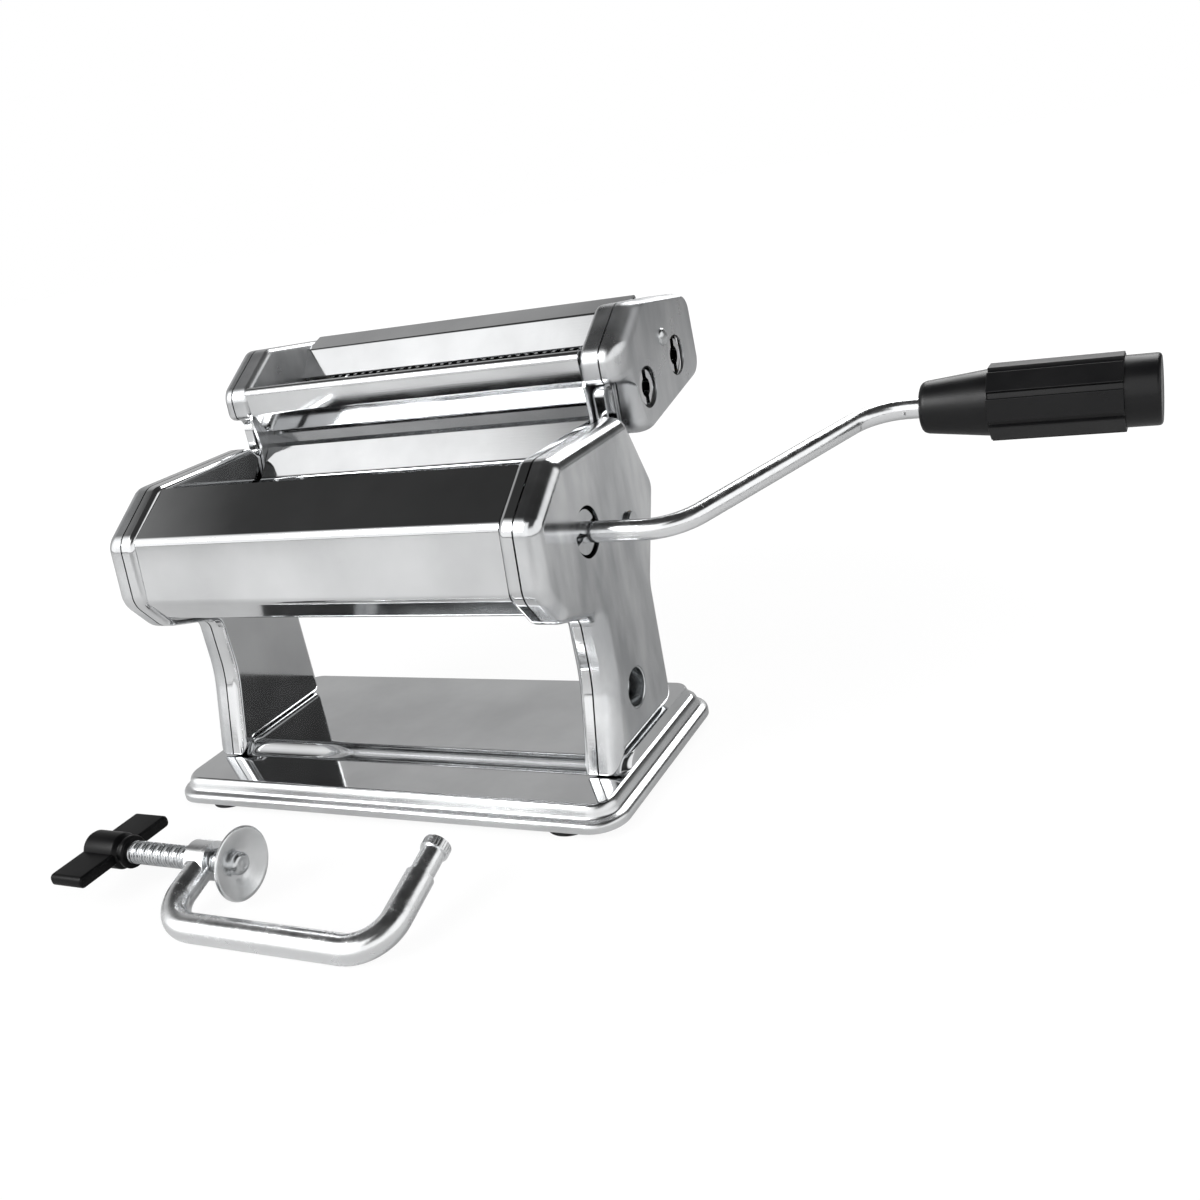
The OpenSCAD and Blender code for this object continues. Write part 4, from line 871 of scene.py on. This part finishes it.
tip = {
    "foot": (52.0, -121.5, 4.75), "reach": 41.6, "back": 1.75,
    "tilt": math.asin(7.85 / 26.3),  # the arm rises 7.85 mm over 26.3 mm of its length
    "ridges": 26, "radius": 4.4, "width": 0.5, "depth": 0.56, "length": 3.1, "edge": 0.12,
}
lean = Vector((0, math.cos(tip["tilt"]), math.sin(tip["tilt"])))
tipMiddle = Vector(tip["foot"]) + lean * (tip["reach"] - tip["back"])
crimps = growPiece("tipCrimps", ribs, {
    "Count": tip["ridges"], "Radius": tip["radius"] * mm, "Width": tip["width"] * mm,
    "Depth": tip["depth"] * mm, "Length": tip["length"] * mm, "Place": tipMiddle * mm,
    "Turn": Vector((tip["tilt"] - math.pi / 2, 0, 0)), "Material": clampPlating})
softEdges(crimps, tip["edge"], rows=2)
rod = finishWith("clamp_rod", clampPlating, crimps)
settle(smoothFaces(rod), "clamp", "clamp_rod")
print("clamp tip built")


# Smooth copies of the CAD nodes that already have their shape

shaftEdge = 0.6
shaft = softEdges(finishNode("drive_shaft", zinc), shaftEdge, 50)
settle(smoothFaces(shaft, "plain"), "drive_roller", "drive_shaft")
finishes = [
    ("rear_panel", steel, "frame", "polished_steel"),
    ("front_roller", steel, "drive_roller", "polished_steel"),
    ("rear_roller", steel, "pressing_roller", "polished_steel"),
    ("eccentric_axle", zinc, "thickness_axle", "zinc_steel"),
    ("thickness_knob", gripBlack, "knob", "black_plastic"),
    ("knob_cap", gripBlack, "knob", "black_plastic"),
    ("crank_rod", plated, "crank", "polished_steel"),
    ("cutter_rear_guard", steel, "cutter", "polished_steel"),
    ("cutter_ties", zinc, "cutter", "zinc_steel"),
    ("wide_drive_roller", steel, "wide_drive", "polished_steel"),
    ("wide_mate_roller", steel, "wide_mate", "polished_steel"),
    ("narrow_drive_roller", steel, "narrow_drive", "polished_steel"),
    ("narrow_mate_roller", steel, "narrow_mate", "polished_steel"),
    ("base_feet", rubber, "frame", "foot_rubber"),
    ("tie_rods", zinc, "frame", "zinc_steel"),
    ("index_plate", zinc, "frame", "zinc_steel"),
]
for nodeName, material, body, slotName in finishes:
    settle(finishNode(nodeName, material), body, nodeName)
print("smooth copies made:", len(finishes) + 1)


# The rest of the CAD nodes keep their solids and get the finish of their slot

slotFinish = {
    "polished_steel": steel, "zinc_steel": zinc, "black_plastic": gripBlack, "foot_rubber": rubber,
    "bush_brass": brass}
for entry in frame["record"]["subparts"]:
    slots = nodes[entry["node"]].data.materials
    slots.clear()
    slots.append(slotFinish[entry["material_slot"]])


# Camera, where the photograph was taken from

view = {
    "place": (272.8, -355.7, 207.8), "lens": 37.33, "sensor": 36.0,
    "forward": (-0.4484, 0.8303, -0.3309), "right": (0.8938, 0.4118, -0.1779),
}
forward = Vector(view["forward"]).normalized()
right = Vector(view["right"])
right = (right - forward * right.dot(forward)).normalized()
up = right.cross(forward)
lens = bpy.data.cameras.new("photoCamera")
lens.lens, lens.sensor_width = view["lens"], view["sensor"]
lens.clip_start, lens.clip_end = 0.01, 20.0
camera = bpy.data.objects.new("photoCamera", lens)
facing = Matrix((right, up, -forward)).transposed().to_4x4()
camera.matrix_world = Matrix.Translation(Vector(view["place"]) * mm) @ facing
scene.collection.objects.link(camera)
scene.camera = camera


# Floor

floorSet = {
    # pale is the floor's own colour; the darker grey is painted shade for the floor's rear
    "reach": 6000, "pale": "bcbcbc", "paintedShadeGrey": "acacac", "glow": 1.08, "roughness": 0.9,
    "paintedShadeFrom": -0.03, "paintedShadeTo": 0.16,  # along Y, in metres: where the painted shade on the floor's rear begins and where it is full
    "fadeFrom": 0.25, "fadeTo": 0.6, "leastGlow": 0.86,  # away from the middle, in metres
}


def paleFloor():
    # white table: pure white to the eye with a faint shadow left in, and painted shade making it greyer where
    # the steel mirrors its rear
    made, tree, shader, place = startMaterial("paleFloor", floorSet["pale"], 0.0, floorSet["roughness"])
    seen = addNode(tree, "ShaderNodeLightPath").outputs["Is Camera Ray"]
    depth = addNode(tree, "ShaderNodeSeparateXYZ", None, {"Vector": place})
    # painted shade: the floor's colour turns greyer towards its rear, for every ray but the camera's
    behind = addNode(tree, "ShaderNodeMapRange", {"interpolation_type": "SMOOTHSTEP"}, {
        "Value": depth.outputs["Y"], "From Min": floorSet["paintedShadeFrom"], "From Max": floorSet["paintedShadeTo"]})
    unseen = addNode(tree, "ShaderNodeMath", {"operation": "SUBTRACT"}, {0: 1.0, 1: seen})
    paintedShadeAmount = addNode(tree, "ShaderNodeMath", {"operation": "MULTIPLY"}, {
        0: behind.outputs["Result"], 1: unseen.outputs["Value"]})
    tone = addNode(tree, "ShaderNodeMix", {"data_type": "RGBA"}, {
        "Factor": paintedShadeAmount.outputs["Value"], 6: hexColor(floorSet["pale"]), 7: hexColor(floorSet["paintedShadeGrey"])})
    tree.links.new(tone.outputs[2], shader.inputs["Base Color"])
    away = addNode(tree, "ShaderNodeVectorMath", {"operation": "LENGTH"}, {0: place})
    fade = addNode(tree, "ShaderNodeMapRange", None, {
        "Value": away.outputs["Value"], "From Min": floorSet["fadeFrom"], "From Max": floorSet["fadeTo"],
        "To Min": floorSet["leastGlow"], "To Max": 1.0})
    share = addNode(tree, "ShaderNodeMath", {"operation": "MULTIPLY"}, {0: seen, 1: fade.outputs["Result"]})
    glow = addNode(tree, "ShaderNodeEmission", None, {
        "Color": hexColor("ffffff"), "Strength": floorSet["glow"]})
    blend = addNode(tree, "ShaderNodeMixShader", None, {
        "Fac": share.outputs["Value"], 1: shader.outputs["BSDF"], 2: glow.outputs["Emission"]})
    tree.links.new(blend.outputs["Shader"], tree.nodes["Material Output"].inputs["Surface"])
    return made


reach = floorSet["reach"]
floorMesh = meshFrom("floor", [
    (-reach, -reach, 0), (reach, -reach, 0), (reach, reach, 0), (-reach, reach, 0)], [(0, 1, 2, 3)])
floor = addObject("floor", floorMesh, paleFloor())


# Sky: what the steel mirrors, as (height of the direction, shade) on four sides of the room

skySet = {
    "front": [(0.0, "ffffff"), (0.79, "ffffff"), (0.87, "3a3a3a"), (1.0, "323232")],
    "corner": [(0.0, "f4f4f4"), (0.42, "ececec"), (0.6, "484848"), (1.0, "303030")],
    "back": [(0.0, "b0b0b0"), (0.45, "a2a2a2"), (0.62, "969696"), (0.73, "3a3a3a"), (1.0, "2e2e2e")],
    "side": [(0.0, "8a8a8a"), (0.12, "4a4a4a"), (0.5, "303030"), (1.0, "2a2a2a")],
    "farRight": "f4f4f4", "strength": 1.2,
    "toSide": ("X", 0.1, 0.35), "toBack": ("Y", -0.3, 0.02), "toFarRight": ("X", 0.68, 0.84),
}
world = bpy.data.worlds.new("studio")
scene.world = world
world.use_nodes = True
sky = world.node_tree
skyWay = addNode(sky, "ShaderNodeTexCoord").outputs["Generated"]
way = addNode(sky, "ShaderNodeSeparateXYZ", None, {"Vector": skyWay}).outputs


def heightSky(stops):
    ramp = addNode(sky, "ShaderNodeValToRGB", None, {"Fac": way["Z"]})
    marks = ramp.color_ramp.elements
    marks[0].position, marks[0].color = stops[0][0], hexColor(stops[0][1])
    marks[1].position, marks[1].color = stops[-1][0], hexColor(stops[-1][1])
    for position, shade in stops[1:-1]:
        marks.new(position).color = hexColor(shade)
    return ramp.outputs["Color"]


def blendSky(turn, first, second):
    axisName, start, end = turn
    amount = addNode(sky, "ShaderNodeMapRange", {"interpolation_type": "SMOOTHSTEP"}, {
        "Value": way[axisName], "From Min": start, "From Max": end})
    mix = addNode(sky, "ShaderNodeMix", {"data_type": "RGBA"}, {
        "Factor": amount.outputs["Result"], 6: first, 7: second})
    return mix.outputs[2]


frontSky = blendSky(skySet["toSide"], heightSky(skySet["front"]), heightSky(skySet["corner"]))
backSky = blendSky(skySet["toSide"], heightSky(skySet["back"]), heightSky(skySet["side"]))
roomSky = blendSky(skySet["toBack"], frontSky, backSky)
wholeSky = blendSky(skySet["toFarRight"], roomSky, hexColor(skySet["farRight"]))
studio = addNode(sky, "ShaderNodeBackground", None, {"Color": wholeSky, "Strength": skySet["strength"]})
plain = addNode(sky, "ShaderNodeBackground", None, {"Color": hexColor("ffffff"), "Strength": 1.0})
skySeen = addNode(sky, "ShaderNodeLightPath").outputs["Is Camera Ray"]
pick = addNode(sky, "ShaderNodeMixShader", None, {
    "Fac": skySeen, 1: studio.outputs["Background"], 2: plain.outputs["Background"]})
sky.links.new(pick.outputs["Shader"], sky.nodes["World Output"].inputs["Surface"])


# Lamps: place and size in mm, power in watts, and whether the steel mirrors it

lamps = [
    ("keyLamp", (-700, -900, 900), 700, 14.0, True),
    ("fillLamp", (900, -500, 700), 800, 7.0, False),  # the steel there shows a dark room
    ("backLamp", (100, 900, 800), 700, 6.0, True),
]
lampAim = Vector((0, 0, 70)) * mm
for name, place, size, power, mirrored in lamps:
    data = bpy.data.lights.new(name, "AREA")
    data.size, data.energy = size * mm, power
    lamp = bpy.data.objects.new(name, data)
    lamp.location = Vector(place) * mm
    lamp.rotation_euler = (lampAim - lamp.location).to_track_quat("-Z", "Y").to_euler()
    lamp.visible_glossy = mirrored
    scene.collection.objects.link(lamp)
scene.view_settings.view_transform = "Standard"
print("stage and light set")
